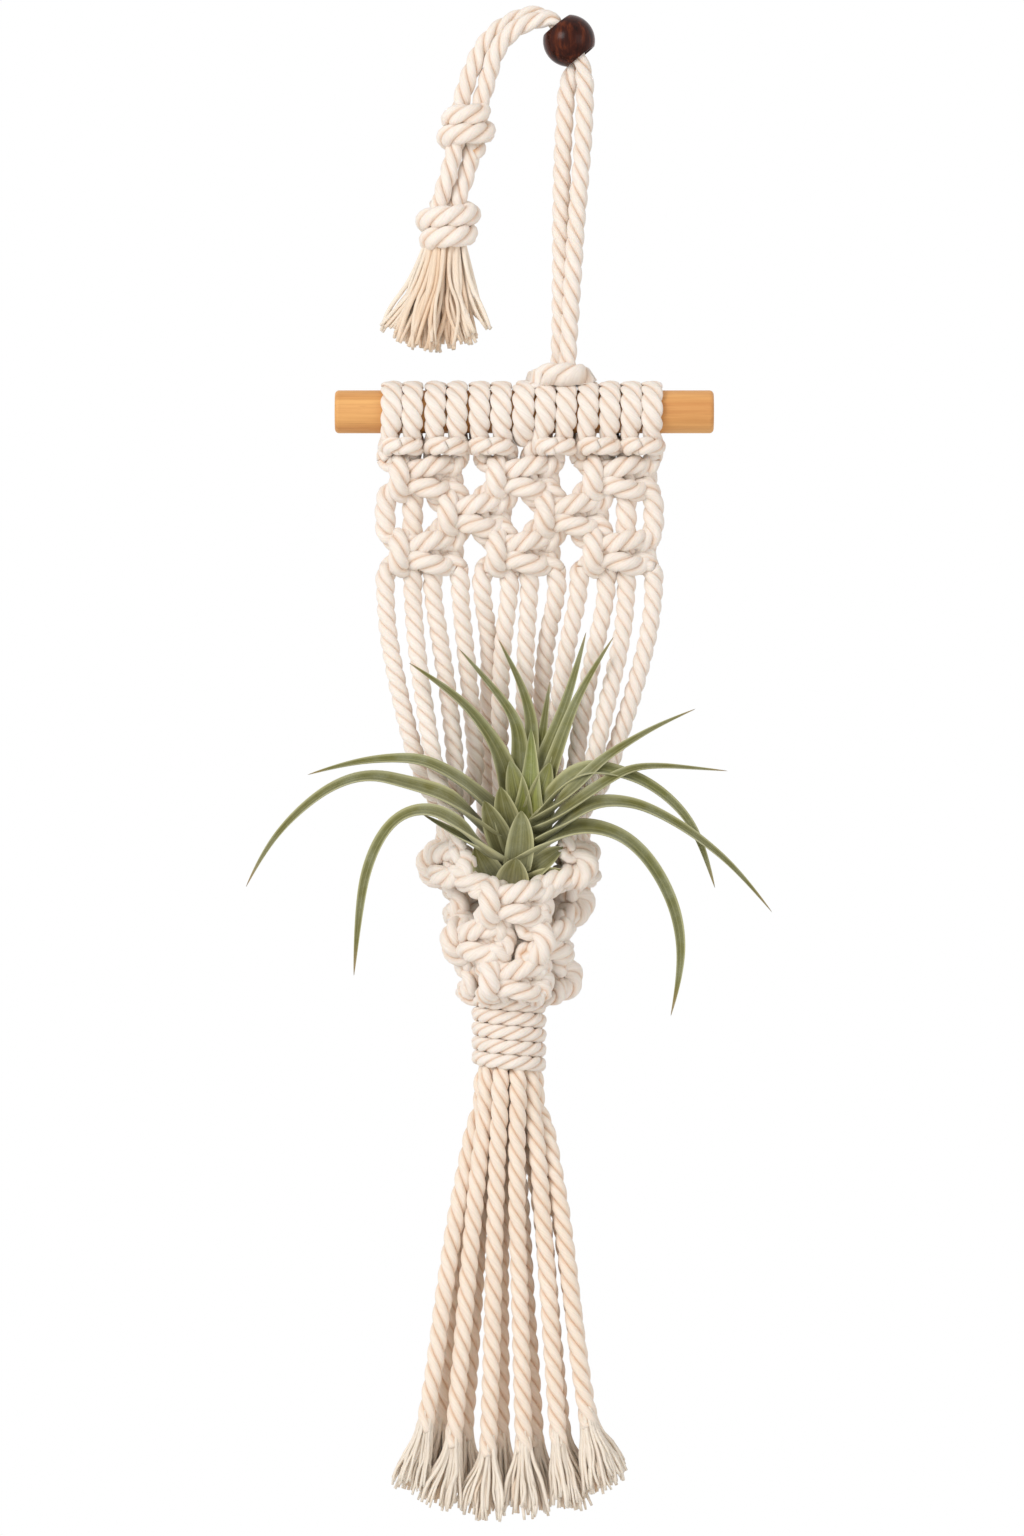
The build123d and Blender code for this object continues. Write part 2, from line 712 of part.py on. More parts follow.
def leaf(base_width, line):
    """A leaf folded along its middle, with a thick keel, tapering to a point."""
    points = route(line)
    lengths = [0.0]
    for before, point in zip(points, points[1:]):
        lengths.append(lengths[-1] + (point - before).length)
    facing = Vector(*leaf_facing)
    rings = []
    for place, point in enumerate(points[:-1]):
        behind = points[max(place - 1, 0)]
        way = (points[place + 1] - behind).normalized()
        upward = (facing - way * facing.dot(way)).normalized()
        across = way.cross(upward)
        share = lengths[place] / lengths[-1]
        width = base_width * photo_scale * (1.0 - share) ** leaf_taper
        fold = upward * width * leaf_keel_share
        keel = upward * (leaf_thickness + (leaf_tip_thickness - leaf_thickness) * share)
        rings.append([point - across * width / 2, point - fold, point + across * width / 2, point - fold - keel])
    rings.append([points[-1]])
    return polyhedron(rings, True, False)


def make_plant():
    rings = []
    for down, across, front, radius in core_rings:
        ring = []
        for side in range(core_sides):
            angle = 2 * pi * side / core_sides
            ring.append(spot(across + radius * cos(angle), down, front + radius * sin(angle)))
        rings.append(ring)
    plant = polyhedron(rings, True, True)
    for width, line in leaves:
        plant = plant.fuse(leaf(width, line))
    keep("air_plant", plant)


make_dowel()
make_bead()
make_hanger_cords()
make_hanger_knots()
make_tassel()
make_hitch()
make_heads()
make_panel()
make_side_cords()
make_basket()
tail_centre, tail_pivot = make_gathering()
make_tail(tail_centre, tail_pivot)
print("tail pivot", round(tail_centre, 3), round(tail_pivot, 3))
print("basket pivot", round(panel_centre(2, 0).Z - knot_height_share * cord - running_gap - half_cord, 3))
make_plant()
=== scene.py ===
import math
import random

import bmesh
import bpy
import numpy as np
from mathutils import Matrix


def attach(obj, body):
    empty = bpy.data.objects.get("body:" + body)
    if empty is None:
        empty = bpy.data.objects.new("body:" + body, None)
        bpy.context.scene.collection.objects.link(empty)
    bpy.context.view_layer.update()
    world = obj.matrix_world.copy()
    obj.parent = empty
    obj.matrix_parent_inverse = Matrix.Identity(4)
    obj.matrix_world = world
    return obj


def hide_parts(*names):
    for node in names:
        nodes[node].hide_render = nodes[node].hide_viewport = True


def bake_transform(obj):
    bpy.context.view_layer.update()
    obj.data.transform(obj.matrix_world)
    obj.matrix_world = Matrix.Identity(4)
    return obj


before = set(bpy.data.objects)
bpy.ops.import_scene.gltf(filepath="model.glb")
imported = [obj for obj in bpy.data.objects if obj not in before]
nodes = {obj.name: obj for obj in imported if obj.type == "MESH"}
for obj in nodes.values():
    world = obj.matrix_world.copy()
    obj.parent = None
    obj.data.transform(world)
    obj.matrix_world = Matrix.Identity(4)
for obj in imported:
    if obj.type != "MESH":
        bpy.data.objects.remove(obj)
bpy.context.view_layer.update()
random.seed(11)

# The photograph's scale in metres per pixel, and where the frame's origin lies in it
PIXEL = 0.00028
ORIGIN_PX = 535.0
ORIGIN_PY = 33.8

# The rope's diameter in metres, its half, and the diameter in pixels
CORD = 0.005
HALF = CORD / 2
CORD_PX = CORD / PIXEL

UP = np.array([0.0, 0.0, 1.0])
WHITE = (1.0, 1.0, 1.0, 1.0)


def at(px, py, front=0.0):
    """A place in the photograph and its depth towards the viewer, in pixels, as a point in metres."""
    return np.array([(px - ORIGIN_PX) * PIXEL, -front * PIXEL, (ORIGIN_PY - py) * PIXEL])


def down_px(line):
    """How far down the photograph each point of a line lies, in pixels."""
    return ORIGIN_PY - line[:, 2] / PIXEL


def outward_at(bearing):
    """The level direction at a bearing in degrees: 0 is to the right, 270 towards the viewer."""
    angle = math.radians(bearing)
    return np.array([math.cos(angle), math.sin(angle), 0.0])


def placed(name, data):
    """A new object, linked into the scene."""
    made = bpy.data.objects.new(name, data)
    bpy.context.scene.collection.objects.link(made)
    return made


# Camera
camera_data = bpy.data.cameras.new("camera")
camera_data.sensor_width = 36.0
camera_data.lens = 184.2
camera = placed("camera", camera_data)
camera.location = (-0.00644, -2.2, -0.2056)
camera.rotation_euler = (math.radians(90), 0, 0)
bpy.context.scene.camera = camera

# Lines and rope. Steps and the fibres' twist are in metres, and the strands' reach from the rope's middle
# and their radius are shares of the rope's radius
LINE_STEP = 0.0009
FIBRE_TURN = 0.016
STRANDS = 3
STRAND_REACH = 0.475
STRAND_THICKNESS = 0.555
RING = 10


def nurbs_line(points):
    """The smooth line of a route: a NURBS spline with the route's points as its control points."""
    curve = bpy.data.curves.new("route", "CURVE")
    curve.dimensions = "3D"
    curve.resolution_u = 10
    spline = curve.splines.new("NURBS")
    spline.points.add(len(points) - 1)
    for point, place in zip(spline.points, points):
        point.co = (place[0], place[1], place[2], 1.0)
    spline.order_u = 3
    spline.use_endpoint_u = True
    holder = bpy.data.objects.new("route", curve)
    mesh = bpy.data.meshes.new_from_object(holder)
    line = np.array([v.co for v in mesh.vertices])
    bpy.data.objects.remove(holder)
    bpy.data.curves.remove(curve)
    bpy.data.meshes.remove(mesh)
    return line


def travelled(line):
    """The way along a line from its start to each of its points."""
    steps = np.linalg.norm(np.diff(line, axis=0), axis=1)
    return np.concatenate([[0.0], np.cumsum(steps)])


def evenly(line, step):
    """The same line with its points at an even step."""
    along = travelled(line)
    keep = np.concatenate([[True], np.diff(along) > 1e-7])
    along, line = along[keep], line[keep]
    count = max(int(round(along[-1] / step)), 4)
    wanted = np.linspace(0, along[-1], count + 1)
    return np.stack([np.interp(wanted, along, line[:, k]) for k in range(3)], axis=1)


def smooth(points, step=LINE_STEP):
    """A route's smooth line with its points at an even step."""
    return evenly(nurbs_line(points), step)


def unit(rows):
    """Each row at length one."""
    return rows / np.linalg.norm(rows, axis=1)[:, None]


def frames_along(line):
    """Two turning-free normals along a line."""
    way = unit(np.gradient(line, axis=0))
    first = np.array([0.0, -1.0, 0.0])
    if abs(way[0] @ first) > 0.9:
        first = np.array([1.0, 0.0, 0.0])
    normals = [first - way[0] * (way[0] @ first)]
    normals[0] /= np.linalg.norm(normals[0])
    for tangent in way[1:]:
        normal = normals[-1] - tangent * (tangent @ normals[-1])
        normals.append(normal / np.linalg.norm(normal))
    normals = np.array(normals)
    return normals, np.cross(way, normals)


def strand_lines(line, radius, pitch, phase=0.0):
    """The middle lines of a rope's three strands, and each strand's own radius."""
    radius = np.broadcast_to(radius, len(line)).astype(float)
    pitch = np.broadcast_to(pitch, len(line)).astype(float)
    steps = np.diff(travelled(line))
    turn = np.concatenate([[0.0], np.cumsum(steps * 2 * math.pi / ((pitch[1:] + pitch[:-1]) / 2))])
    normal, side = frames_along(line)
    reach = radius * STRAND_REACH
    strands = []
    for k in range(STRANDS):
        angle = phase - turn + 2 * math.pi * k / STRANDS
        over = normal * (reach * np.cos(angle))[:, None]
        beside = side * (reach * np.sin(angle))[:, None]
        strands.append(line + over + beside)
    return strands, radius * STRAND_THICKNESS


def points_of(mesh):
    """A mesh's vertices as rows of x, y and z."""
    co = np.zeros(len(mesh.vertices) * 3)
    mesh.vertices.foreach_get("co", co)
    return co.reshape(-1, 3)


def shade_smooth(mesh):
    """Shades all of a mesh's faces as one curved surface."""
    mesh.polygons.foreach_set("use_smooth", [True] * len(mesh.polygons))


def tubes(name, lines, radii, middles, around=RING, starts=0.0):
    """One mesh of round tubes along several lines, with the fibre's run and each point's reach from the
    middle, the mask for painted groove shade, kept as attributes.
    """
    curve = bpy.data.curves.new(name, "CURVE")
    curve.dimensions = "3D"
    curve.bevel_depth = 1.0
    curve.bevel_resolution = (around - 4) // 2
    for line, radius in zip(lines, radii):
        spline = curve.splines.new("POLY")
        spline.points.add(len(line) - 1)
        spline.points.foreach_set("co", np.hstack([line, np.ones((len(line), 1))]).ravel())
        spline.points.foreach_set("radius", np.broadcast_to(radius, len(line)).astype(float))
    holder = bpy.data.objects.new(name, curve)
    mesh = bpy.data.meshes.new_from_object(holder)
    bpy.data.objects.remove(holder)
    bpy.data.curves.remove(curve)
    piece = placed(name, mesh)
    co = points_of(mesh)
    fibre, shade_mask, place = [], [], 0
    for line, middle in zip(lines, middles):
        rings = co[place : place + len(line) * around].reshape(len(line), around, 3)
        place += len(line) * around
        along = starts + travelled(line)
        angle = 2 * math.pi * np.arange(around)[None, :] / around
        angle = angle + (along * 2 * math.pi / FIBRE_TURN)[:, None]
        run = np.broadcast_to((along * 1000)[:, None], angle.shape)
        fibre.append(np.stack([np.cos(angle), np.sin(angle), run], axis=2).reshape(-1, 3))
        # Each point's reach from the middle, the mask for the painted shade in the grooves between strands
        reach = np.linalg.norm(rings - middle[:, None, :], axis=2)
        shade_mask.append((reach / np.maximum(reach.max(axis=1, keepdims=True), 1e-9)).ravel())
    fibres = mesh.attributes.new("fibre", "FLOAT_VECTOR", "POINT")
    fibres.data.foreach_set("vector", np.concatenate(fibre).ravel().astype(np.float32))
    shade_masks = mesh.attributes.new("shade_mask", "FLOAT", "POINT")
    shade_masks.data.foreach_set("value", np.concatenate(shade_mask).astype(np.float32))
    closing = bmesh.new()
    closing.from_mesh(mesh)
    bmesh.ops.holes_fill(closing, edges=[edge for edge in closing.edges if edge.is_boundary], sides=0)
    closing.to_mesh(mesh)
    closing.free()
    shade_smooth(mesh)
    return piece


def rope(name, line, radius=HALF, pitch=0.0115, phase=0.0, material=None, part=slice(None), strands=None):
    """A three-strand rope along a line, or along a part of it."""
    lines, thick = strands if strands is not None else strand_lines(line, radius, pitch, phase)
    cut = [s[part] for s in lines]
    start = travelled(line)[part][0]
    piece = tubes(name, cut, [thick[part]] * len(cut), [line[part]] * len(cut), starts=start)
    piece.data.materials.append(material)
    return piece


# Materials
def linear(red, green, blue):
    """A colour from values of 0 to 255, as the renderer takes it."""
    out = []
    for value in (red, green, blue):
        value /= 255.0
        out.append(value / 12.92 if value <= 0.04045 else ((value + 0.055) / 1.055) ** 2.4)
    return (*out, 1.0)


def new_material(name, roughness):
    material = bpy.data.materials.new(name)
    material.use_nodes = True
    tree = material.node_tree
    shader = tree.nodes["Principled BSDF"]
    tune(shader, {"Roughness": roughness})
    return material, tree, shader


def node(tree, kind, **values):
    made = tree.nodes.new(kind)
    for key, value in values.items():
        setattr(made, key, value)
    return made


def tune(made, values):
    """Sets a shader node's inputs by their names."""
    for name, value in values.items():
        made.inputs[name].default_value = value


def feed(tree, socket, value):
    """Sets a socket to a plain value, or links it to another node's output."""
    if isinstance(value, (int, float, tuple)):
        socket.default_value = value
    else:
        tree.links.new(value, socket)


def grey(value):
    return (value, value, value, 1)


def attribute(tree, name):
    return node(tree, "ShaderNodeAttribute", attribute_name=name)


def noise(tree, vector, scale, detail=3.0, roughness=0.55):
    made = node(tree, "ShaderNodeTexNoise")
    tune(made, {"Scale": scale, "Detail": detail, "Roughness": roughness})
    tree.links.new(vector, made.inputs["Vector"])
    return made


def mapping(tree, vector, scale, rotation=(0.0, 0.0, 0.0)):
    made = node(tree, "ShaderNodeMapping")
    tune(made, {"Scale": scale, "Rotation": rotation})
    tree.links.new(vector, made.inputs["Vector"])
    return made.outputs["Vector"]


def ramp(tree, value, stops):
    made = node(tree, "ShaderNodeValToRGB")
    elements = made.color_ramp.elements
    while len(elements) < len(stops):
        elements.new(0.5)
    for element, (place, colour) in zip(elements, stops):
        element.position = place
        element.color = colour
    tree.links.new(value, made.inputs["Fac"])
    return made.outputs["Color"]


MIX_COLOURS = (6, 7)
MIXED_COLOUR = 2


def mixed(tree, kind, share, first, second):
    """A mix of two colours, each a plain colour or another node's output."""
    made = node(tree, "ShaderNodeMix", data_type="RGBA", blend_type=kind)
    feed(tree, made.inputs["Factor"], share)
    for place, value in zip(MIX_COLOURS, (first, second)):
        feed(tree, made.inputs[place], value)
    return made.outputs[MIXED_COLOUR]


def maths(tree, kind, *values):
    made = node(tree, "ShaderNodeMath", operation=kind)
    for place, value in enumerate(values):
        feed(tree, made.inputs[place], value)
    return made.outputs[0]


def bump(tree, shader, height, distance, strength):
    made = node(tree, "ShaderNodeBump")
    tune(made, {"Distance": distance, "Strength": strength})
    tree.links.new(height, made.inputs["Height"])
    tree.links.new(made.outputs["Normal"], shader.inputs["Normal"])


def own_place(tree):
    """Each point's place in its piece's own coordinates."""
    return node(tree, "ShaderNodeTexCoord").outputs["Object"]


def cotton(name, light, painted_groove_shade, yarn=3.4, soft=0.12):
    """Soft twisted cotton: fine fibres along each strand, and painted shade that makes the grooves between
    strands darker and warmer.
    """
    material, tree, shader = new_material(name, 0.92)
    fibre = attribute(tree, "fibre").outputs["Vector"]
    shade_mask = attribute(tree, "shade_mask").outputs["Fac"]
    streak = noise(tree, mapping(tree, fibre, (yarn, yarn, 0.28)), 1.0, 4.0, 0.62)
    fine = noise(tree, mapping(tree, fibre, (9.0, 9.0, 0.9)), 1.0, 3.0, 0.6)
    patch = noise(tree, own_place(tree), 70.0, 2.0)
    # Painted shade: points nearer the rope's middle, in the grooves between strands, darker and warmer
    depth = ramp(tree, shade_mask, [(0.5, painted_groove_shade), (0.92, light)])
    fibres = ramp(tree, streak.outputs["Fac"], [(0.3, (0.87, 0.85, 0.82, 1)), (0.62, WHITE)])
    colour = mixed(tree, "MULTIPLY", 0.75, depth, fibres)
    patches = ramp(tree, patch.outputs["Fac"], [(0.35, (0.955, 0.94, 0.92, 1)), (0.65, WHITE)])
    colour = mixed(tree, "MULTIPLY", 0.8, colour, patches)
    tree.links.new(colour, shader.inputs["Base Color"])
    height = maths(tree, "ADD", streak.outputs["Fac"], maths(tree, "MULTIPLY", fine.outputs["Fac"], 0.45))
    bump(tree, shader, height, 0.00028, 0.75)
    tune(shader, {
        "Subsurface Weight": soft,
        "Subsurface Radius": (1.0, 0.66, 0.42),
        "Subsurface Scale": 0.0014,
        "Sheen Weight": 0.22,
        "Sheen Roughness": 0.5,
        "Sheen Tint": (1.0, 0.93, 0.84, 1.0),
        "Specular IOR Level": 0.2,
    })
    return material


# The second colour of each cotton is its painted shade, in the grooves between strands and between yarns
cotton_main = cotton("cotton_rope", linear(249, 238, 228), linear(224, 176, 132))
cotton_tail = cotton("cotton_tail", linear(250, 234, 218), linear(222, 168, 118))
cotton_yarn = cotton("cotton_yarn", linear(253, 240, 224), linear(238, 188, 134), 1.6, 0.06)


def dowel_wood():
    """Honey-coloured wood, its grain and pores along the dowel."""
    material, tree, shader = new_material("honey_dowel", 0.55)
    place = own_place(tree)
    broad = noise(tree, mapping(tree, place, (7.0, 190.0, 190.0)), 1.0, 4.0, 0.55)
    fine = noise(tree, mapping(tree, place, (36.0, 1500.0, 1500.0)), 1.0, 4.0, 0.7)
    pores = noise(tree, mapping(tree, place, (150.0, 4200.0, 4200.0)), 1.0, 2.0, 0.5)
    base = ramp(tree, broad.outputs["Fac"], [(0.34, linear(204, 138, 74)), (0.66, linear(234, 176, 106))])
    lines = ramp(tree, fine.outputs["Fac"], [(0.36, (0.84, 0.79, 0.72, 1)), (0.6, WHITE)])
    colour = mixed(tree, "MULTIPLY", 0.7, base, lines)
    marks = ramp(tree, pores.outputs["Fac"], [(0.27, (0.66, 0.55, 0.44, 1)), (0.36, WHITE)])
    colour = mixed(tree, "MULTIPLY", 0.55, colour, marks)
    tree.links.new(colour, shader.inputs["Base Color"])
    height = maths(tree, "ADD", fine.outputs["Fac"], maths(tree, "MULTIPLY", pores.outputs["Fac"], 0.6))
    bump(tree, shader, height, 0.00012, 0.5)
    return material


def bead_wood():
    """Dark polished wood, its grain aslant."""
    material, tree, shader = new_material("dark_bead", 0.24)
    grain = mapping(tree, own_place(tree), (620.0, 620.0, 90.0), (0.0, math.radians(38), 0.0))
    streak = noise(tree, grain, 1.0, 4.0, 0.6)
    browns = [(0.3, linear(26, 6, 2)), (0.52, linear(58, 20, 8)), (0.75, linear(106, 48, 20))]
    tree.links.new(ramp(tree, streak.outputs["Fac"], browns), shader.inputs["Base Color"])
    bump(tree, shader, streak.outputs["Fac"], 0.00004, 0.5)
    tune(shader, {"Specular IOR Level": 0.16})
    return material


def leaf_green():
    """Velvety grey-green leaf: pale rims and middle rib, partly their own colour and partly painted
    highlight, fine stripes along it, dry brown tip.
    """
    material, tree, shader = new_material("plant_leaf", 0.62)
    blade = attribute(tree, "blade").outputs["Vector"]
    parts = node(tree, "ShaderNodeSeparateXYZ")
    tree.links.new(blade, parts.inputs[0])
    across, along, young = parts.outputs[0], parts.outputs[1], parts.outputs[2]
    place = own_place(tree)
    body = [
        (0.0, linear(136, 132, 96)),
        (0.2, linear(118, 114, 66)),
        (0.55, linear(104, 103, 44)),
        (0.9, linear(110, 105, 48)),
        (0.975, linear(150, 118, 74)),
        (1.0, linear(120, 82, 50)),
    ]
    bright = [
        (0.0, linear(150, 150, 80)),
        (0.4, linear(138, 144, 60)),
        (1.0, linear(118, 124, 56)),
    ]
    colour = mixed(tree, "MIX", young, ramp(tree, along, body), ramp(tree, along, bright))
    # Pale rims and middle rib: partly the leaf's own pale colour, partly a painted highlight on the
    # channel's edges
    pale_rims_and_highlight = [(0.0, grey(0.3)), (0.1, grey(0.0)), (0.55, grey(0.03)), (0.95, grey(0.95))]
    edges = ramp(tree, maths(tree, "ABSOLUTE", across), pale_rims_and_highlight)
    colour = mixed(tree, "MIX", maths(tree, "MULTIPLY", edges, 0.85), colour, linear(206, 202, 156))
    stripes = noise(tree, mapping(tree, blade, (9.0, 1.6, 1.0)), 1.0, 3.0, 0.6)
    striped = ramp(tree, stripes.outputs["Fac"], [(0.36, (0.4, 0.42, 0.34, 1)), (0.6, (1.2, 1.18, 1.14, 1))])
    colour = mixed(tree, "MULTIPLY", 0.6, colour, striped)
    scales = noise(tree, place, 2600.0, 2.0, 0.6)
    dust = noise(tree, place, 120.0, 3.0, 0.6)
    dusty = ramp(tree, dust.outputs["Fac"], [(0.38, grey(0)), (0.66, grey(0.5))])
    dusty = maths(tree, "MULTIPLY", dusty, scales.outputs["Fac"])
    colour = mixed(tree, "MIX", dusty, colour, linear(178, 182, 160))
    tree.links.new(colour, shader.inputs["Base Color"])
    height = maths(tree, "ADD", maths(tree, "MULTIPLY", scales.outputs["Fac"], 0.35), stripes.outputs["Fac"])
    bump(tree, shader, height, 0.00018, 0.6)
    tune(shader, {
        "Sheen Weight": 0.28,
        "Sheen Roughness": 0.4,
        "Sheen Tint": (0.86, 0.9, 0.8, 1.0),
        "Specular IOR Level": 0.35,
    })
    return material


leaf_finish = leaf_green()
for name, finish in (("dowel", dowel_wood()), ("bead", bead_wood())):
    nodes[name].data.materials.clear()
    nodes[name].data.materials.append(finish)

# Square knots. A turning cord's way to the knot's middle, in cord diameters: across, up, outwards
LEFT_TURN = [
    (-1.72, 0.72, -0.1), (-1.2, 0.42, 0.05), (-0.62, 0.36, 0.6), (0.0, 0.5, 0.84),
    (0.62, 0.68, 0.8), (1.25, 0.8, 0.3), (1.66, 0.5, -0.25),
]
RIGHT_TURN = [
    (1.75, 0.6, 0.1), (1.2, 0.42, -0.1), (0.6, 0.46, -0.62), (0.0, 0.5, -0.8), (-0.6, 0.62, -0.6),
    (-1.08, 0.95, -0.05), (-1.34, 0.78, 0.78),
]
SLOT_ACROSS = (-2.1, -0.56, 0.56, 2.1)
# Half a knot's height, where it ends free and where it runs on into the next one
FREE_HALF = 1.045
JOINED_HALF = 0.6


def mirrored(points, middle):
    """A turning cord's whole way, from its upper half and its middle point."""
    return points + [middle] + [(a, -b, c) for a, b, c in reversed(points)]


def knot_route(slot, reach, top, bottom):
    """One cord's way through a square knot, in cord diameters: across, up, outwards."""
    if slot == 0:
        return [(-reach, top, 0.0)] + mirrored(LEFT_TURN, (1.75, 0.0, -0.5)) + [(-reach, -bottom, 0.0)]
    if slot == 3:
        return [(reach, top, 0.0)] + mirrored(RIGHT_TURN, (-1.3, 0.0, 1.2)) + [(reach, -bottom, 0.0)]
    side = SLOT_ACROSS[slot]
    return [(side, top, 0.0), (side * 0.9, 0.0, 0.0), (side, -bottom, 0.0)]


# The panel: its middle and first row in the photograph, and the steps between knots in cord diameters
PANEL_PX = 519.5
PANEL_PY = 478.0
COLUMN_STEP = 2.71
ROW_STEP = 2.09


def column_px(column):
    """How far across the photograph a column of the panel lies."""
    return PANEL_PX + column * COLUMN_STEP * CORD_PX


def panel_knot(row, column, slot):
    """One cord's points through one of the panel's knots."""
    centre = at(column_px(column), PANEL_PY + row * ROW_STEP * CORD_PX)
    route = knot_route(slot, SLOT_ACROSS[3], FREE_HALF, FREE_HALF)
    return [centre + CORD * np.array([a, -c, b]) for a, b, c in route]


# The basket's rounds: level in the photograph, radius in millimetres, each knot's reach up and down
BASKET_ROWS = {
    "top": (864.0, 17.9, FREE_HALF, JOINED_HALF),
    "upper": (902.2, 14.0, JOINED_HALF, JOINED_HALF),
    "lower": (940.4, 12.0, JOINED_HALF, JOINED_HALF),
    "bottom": (978.6, 10.2, JOINED_HALF, FREE_HALF),
}
BASKET_PX = 513.0
BASKET_REACH = 1.6
# Two knots that lie nearer the front than an even spacing puts them
MOVED_KNOTS = {("lower", 210): 221, ("lower", 330): 319}


def basket_knot(row, bearing, slot):
    """One cord's points through one of the basket's knots."""
    down, radius, top, bottom = BASKET_ROWS[row]
    bearing = MOVED_KNOTS.get((row, bearing), bearing)
    outward, sideways = outward_at(bearing), outward_at(bearing + 90)
    centre = at(BASKET_PX, down) + outward * radius * 0.001
    route = knot_route(slot, BASKET_REACH, top, bottom)
    return [centre + CORD * (sideways * a + UP * b + outward * c) for a, b, c in route]


# Which knots each of the twelve cords goes through: panel (row, column, slot), basket (row, bearing, slot)
PANEL_WAY, BASKET_WAY = {}, {}
for number in range(1, 13):
    group, slot = divmod(number - 1, 4)
    column = (-2, 0, 2)[group]
    way = [(0, column, slot)]
    if 3 <= number <= 6:
        way.append((1, -1, number - 3))
    if 7 <= number <= 10:
        way.append((1, 1, number - 7))
    PANEL_WAY[number] = way + [(2, column, slot)]
RING_ORDER = {
    ("top", 195): (4, 3, 1, 2), ("top", 345): (11, 12, 10, 9), ("top", 90): (8, 7, 6, 5),
    ("upper", 270): (1, 2, 11, 12), ("upper", 30): (10, 9, 8, 7), ("upper", 150): (6, 5, 4, 3),
    ("lower", 90): (8, 7, 6, 5), ("lower", 210): (4, 3, 1, 2), ("lower", 330): (11, 12, 10, 9),
    ("bottom", 270): (1, 2, 11, 12), ("bottom", 30): (10, 9, 8, 7), ("bottom", 150): (6, 5, 4, 3),
}
for (row, bearing), cords in RING_ORDER.items():
    for slot, number in enumerate(cords):
        BASKET_WAY.setdefault(number, []).append((row, bearing, slot))

# The side cords: name, then their pixel columns and depths at these levels, as in the CAD model
SIDE_LEVELS = (640, 715, 785)
SIDE_WAY = {
    1: ("left_1", (388.5, 404, 424), (5, 12, 16)),
    2: ("left_2", (415.5, 426, 438), (10, 22, 36)),
    3: ("left_3", (440, 451.5, 457), (0, 3, 4)),
    4: ("left_4", (464.5, 472.5, 478), (-8, -18, -29)),
    5: ("back_1", (490, 488.5, 485.5), (-22, -45, -60)),
    6: ("back_2", (503, 499, 501), (-7, -24, -46)),
    7: ("back_3", (526, 524, 522.5), (-8, -25, -47)),
    8: ("back_4", (546, 540.5, 541), (-23, -46, -61)),
    9: ("right_4", (568, 557, 553.5), (-8, -18, -29)),
    10: ("right_3", (597, 581.5, 573), (0, 3, 4)),
    11: ("right_2", (622, 604, 587.5), (10, 22, 36)),
    12: ("right_1", (648, 627, 603), (5, 12, 16)),
}

# The tail's cords: name, ring radius in cord diameters, bearing, then their pixel columns and depths at
# these levels and at their end, and the end's level
TAIL_LEVELS = (1122, 1165, 1221, 1300, 1380)
TAIL_WAY = {
    3: ("front_1", 1.53, 174, (475, 466, 455, 443, 433, 424), (0, 5, 12, 13, 13, 13), 1430),
    1: ("front_2", 1.53, 212, (484, 479, 473, 466, 459, 453), (15, 15, 14, 13, 13, 13), 1446),
    2: ("front_3", 1.53, 251, (499, 497, 495, 493, 491, 488), (24, 18, 13, 13, 13, 13), 1455),
    11: ("front_4", 1.53, 289.5, (517, 517, 517, 520, 522, 524), (24, 19, 15, 13, 13, 13), 1451),
    12: ("front_5", 1.53, 328, (534, 539, 543, 549, 554, 559), (15, 15, 14, 13, 13, 13), 1446),
    10: ("front_6", 1.53, 6, (545, 553, 563, 572, 581, 589), (0, 5, 12, 13, 13, 13), 1426),
    4: ("back_1", 1.53, 136, (483, 471, 460, 451, 444, 438), (-17, -14, -13, -13, -13, -13), 1432),
    5: ("back_2", 0.6, 150, (495, 488, 480, 474, 469, 464), (-5, -11, -16, -14, -13, -13), 1440),
    6: ("back_3", 1.53, 90, (507, 504, 501, 500, 501, 501), (-24, -19, -14, -13, -13, -13), 1448),
    7: ("back_4", 0.6, 270, (511, 518, 522, 526, 532, 536), (7, -2, -10, -13, -13, -13), 1448),
    8: ("back_5", 0.6, 30, (523, 534, 543, 550, 557, 563), (-7, -14, -15, -13, -13, -13), 1438),
    9: ("back_6", 1.53, 44, (537, 549, 561, 572, 582, 590), (-19, -16, -14, -13, -13, -13), 1424),
}

# The lark's heads' turns over the dowel and their band, and the gathering's middle, in the photograph
HEADS = [(392.0, 412.5), (435.5, 457.0), (479.5, 501.0), (545.5, 566.0), (588.0, 609.5), (631.0, 651.5)]
DOWEL_Y = 412.0
TURN_REACH = 27.2
BAND_PY = 447
WRAP_PX = 509
# Two points nearer than this are one, in metres
NEAR = 0.0012


def joined(points, more):
    """Adds a stretch; where it starts at the last point, the two points become their middle."""
    if points and np.linalg.norm(points[-1] - more[0]) < NEAR:
        points[-1] = (points[-1] + more[0]) / 2
        more = more[1:]
    points.extend(more)


def round_dowel(px, bearings):
    """Points of a turn round the dowel: bearing 0 is its front and 90 its top."""
    points = []
    for degrees in bearings:
        angle = math.radians(degrees)
        points.append(at(px, DOWEL_Y - TURN_REACH * math.sin(angle), TURN_REACH * math.cos(angle)))
    return points


def half_head(px, other, leg_px):
    """From the band's middle in front, under and up behind the dowel, over it, and down to the leg."""
    side = -1 if px < other else 1
    middle = (px + other) / 2
    points = [at(middle, BAND_PY, 24), at((middle + px) / 2, BAND_PY, 24), at(px + side, BAND_PY, 22)]
    points += [at(px + side * 6, 448, 5), at(px + side * 2, 442, -14)]
    points += round_dowel(px, range(212, -35, -24))
    points += [at((px * 2 + leg_px) / 3, 441, 9), at(leg_px, 451, 1)]
    return points


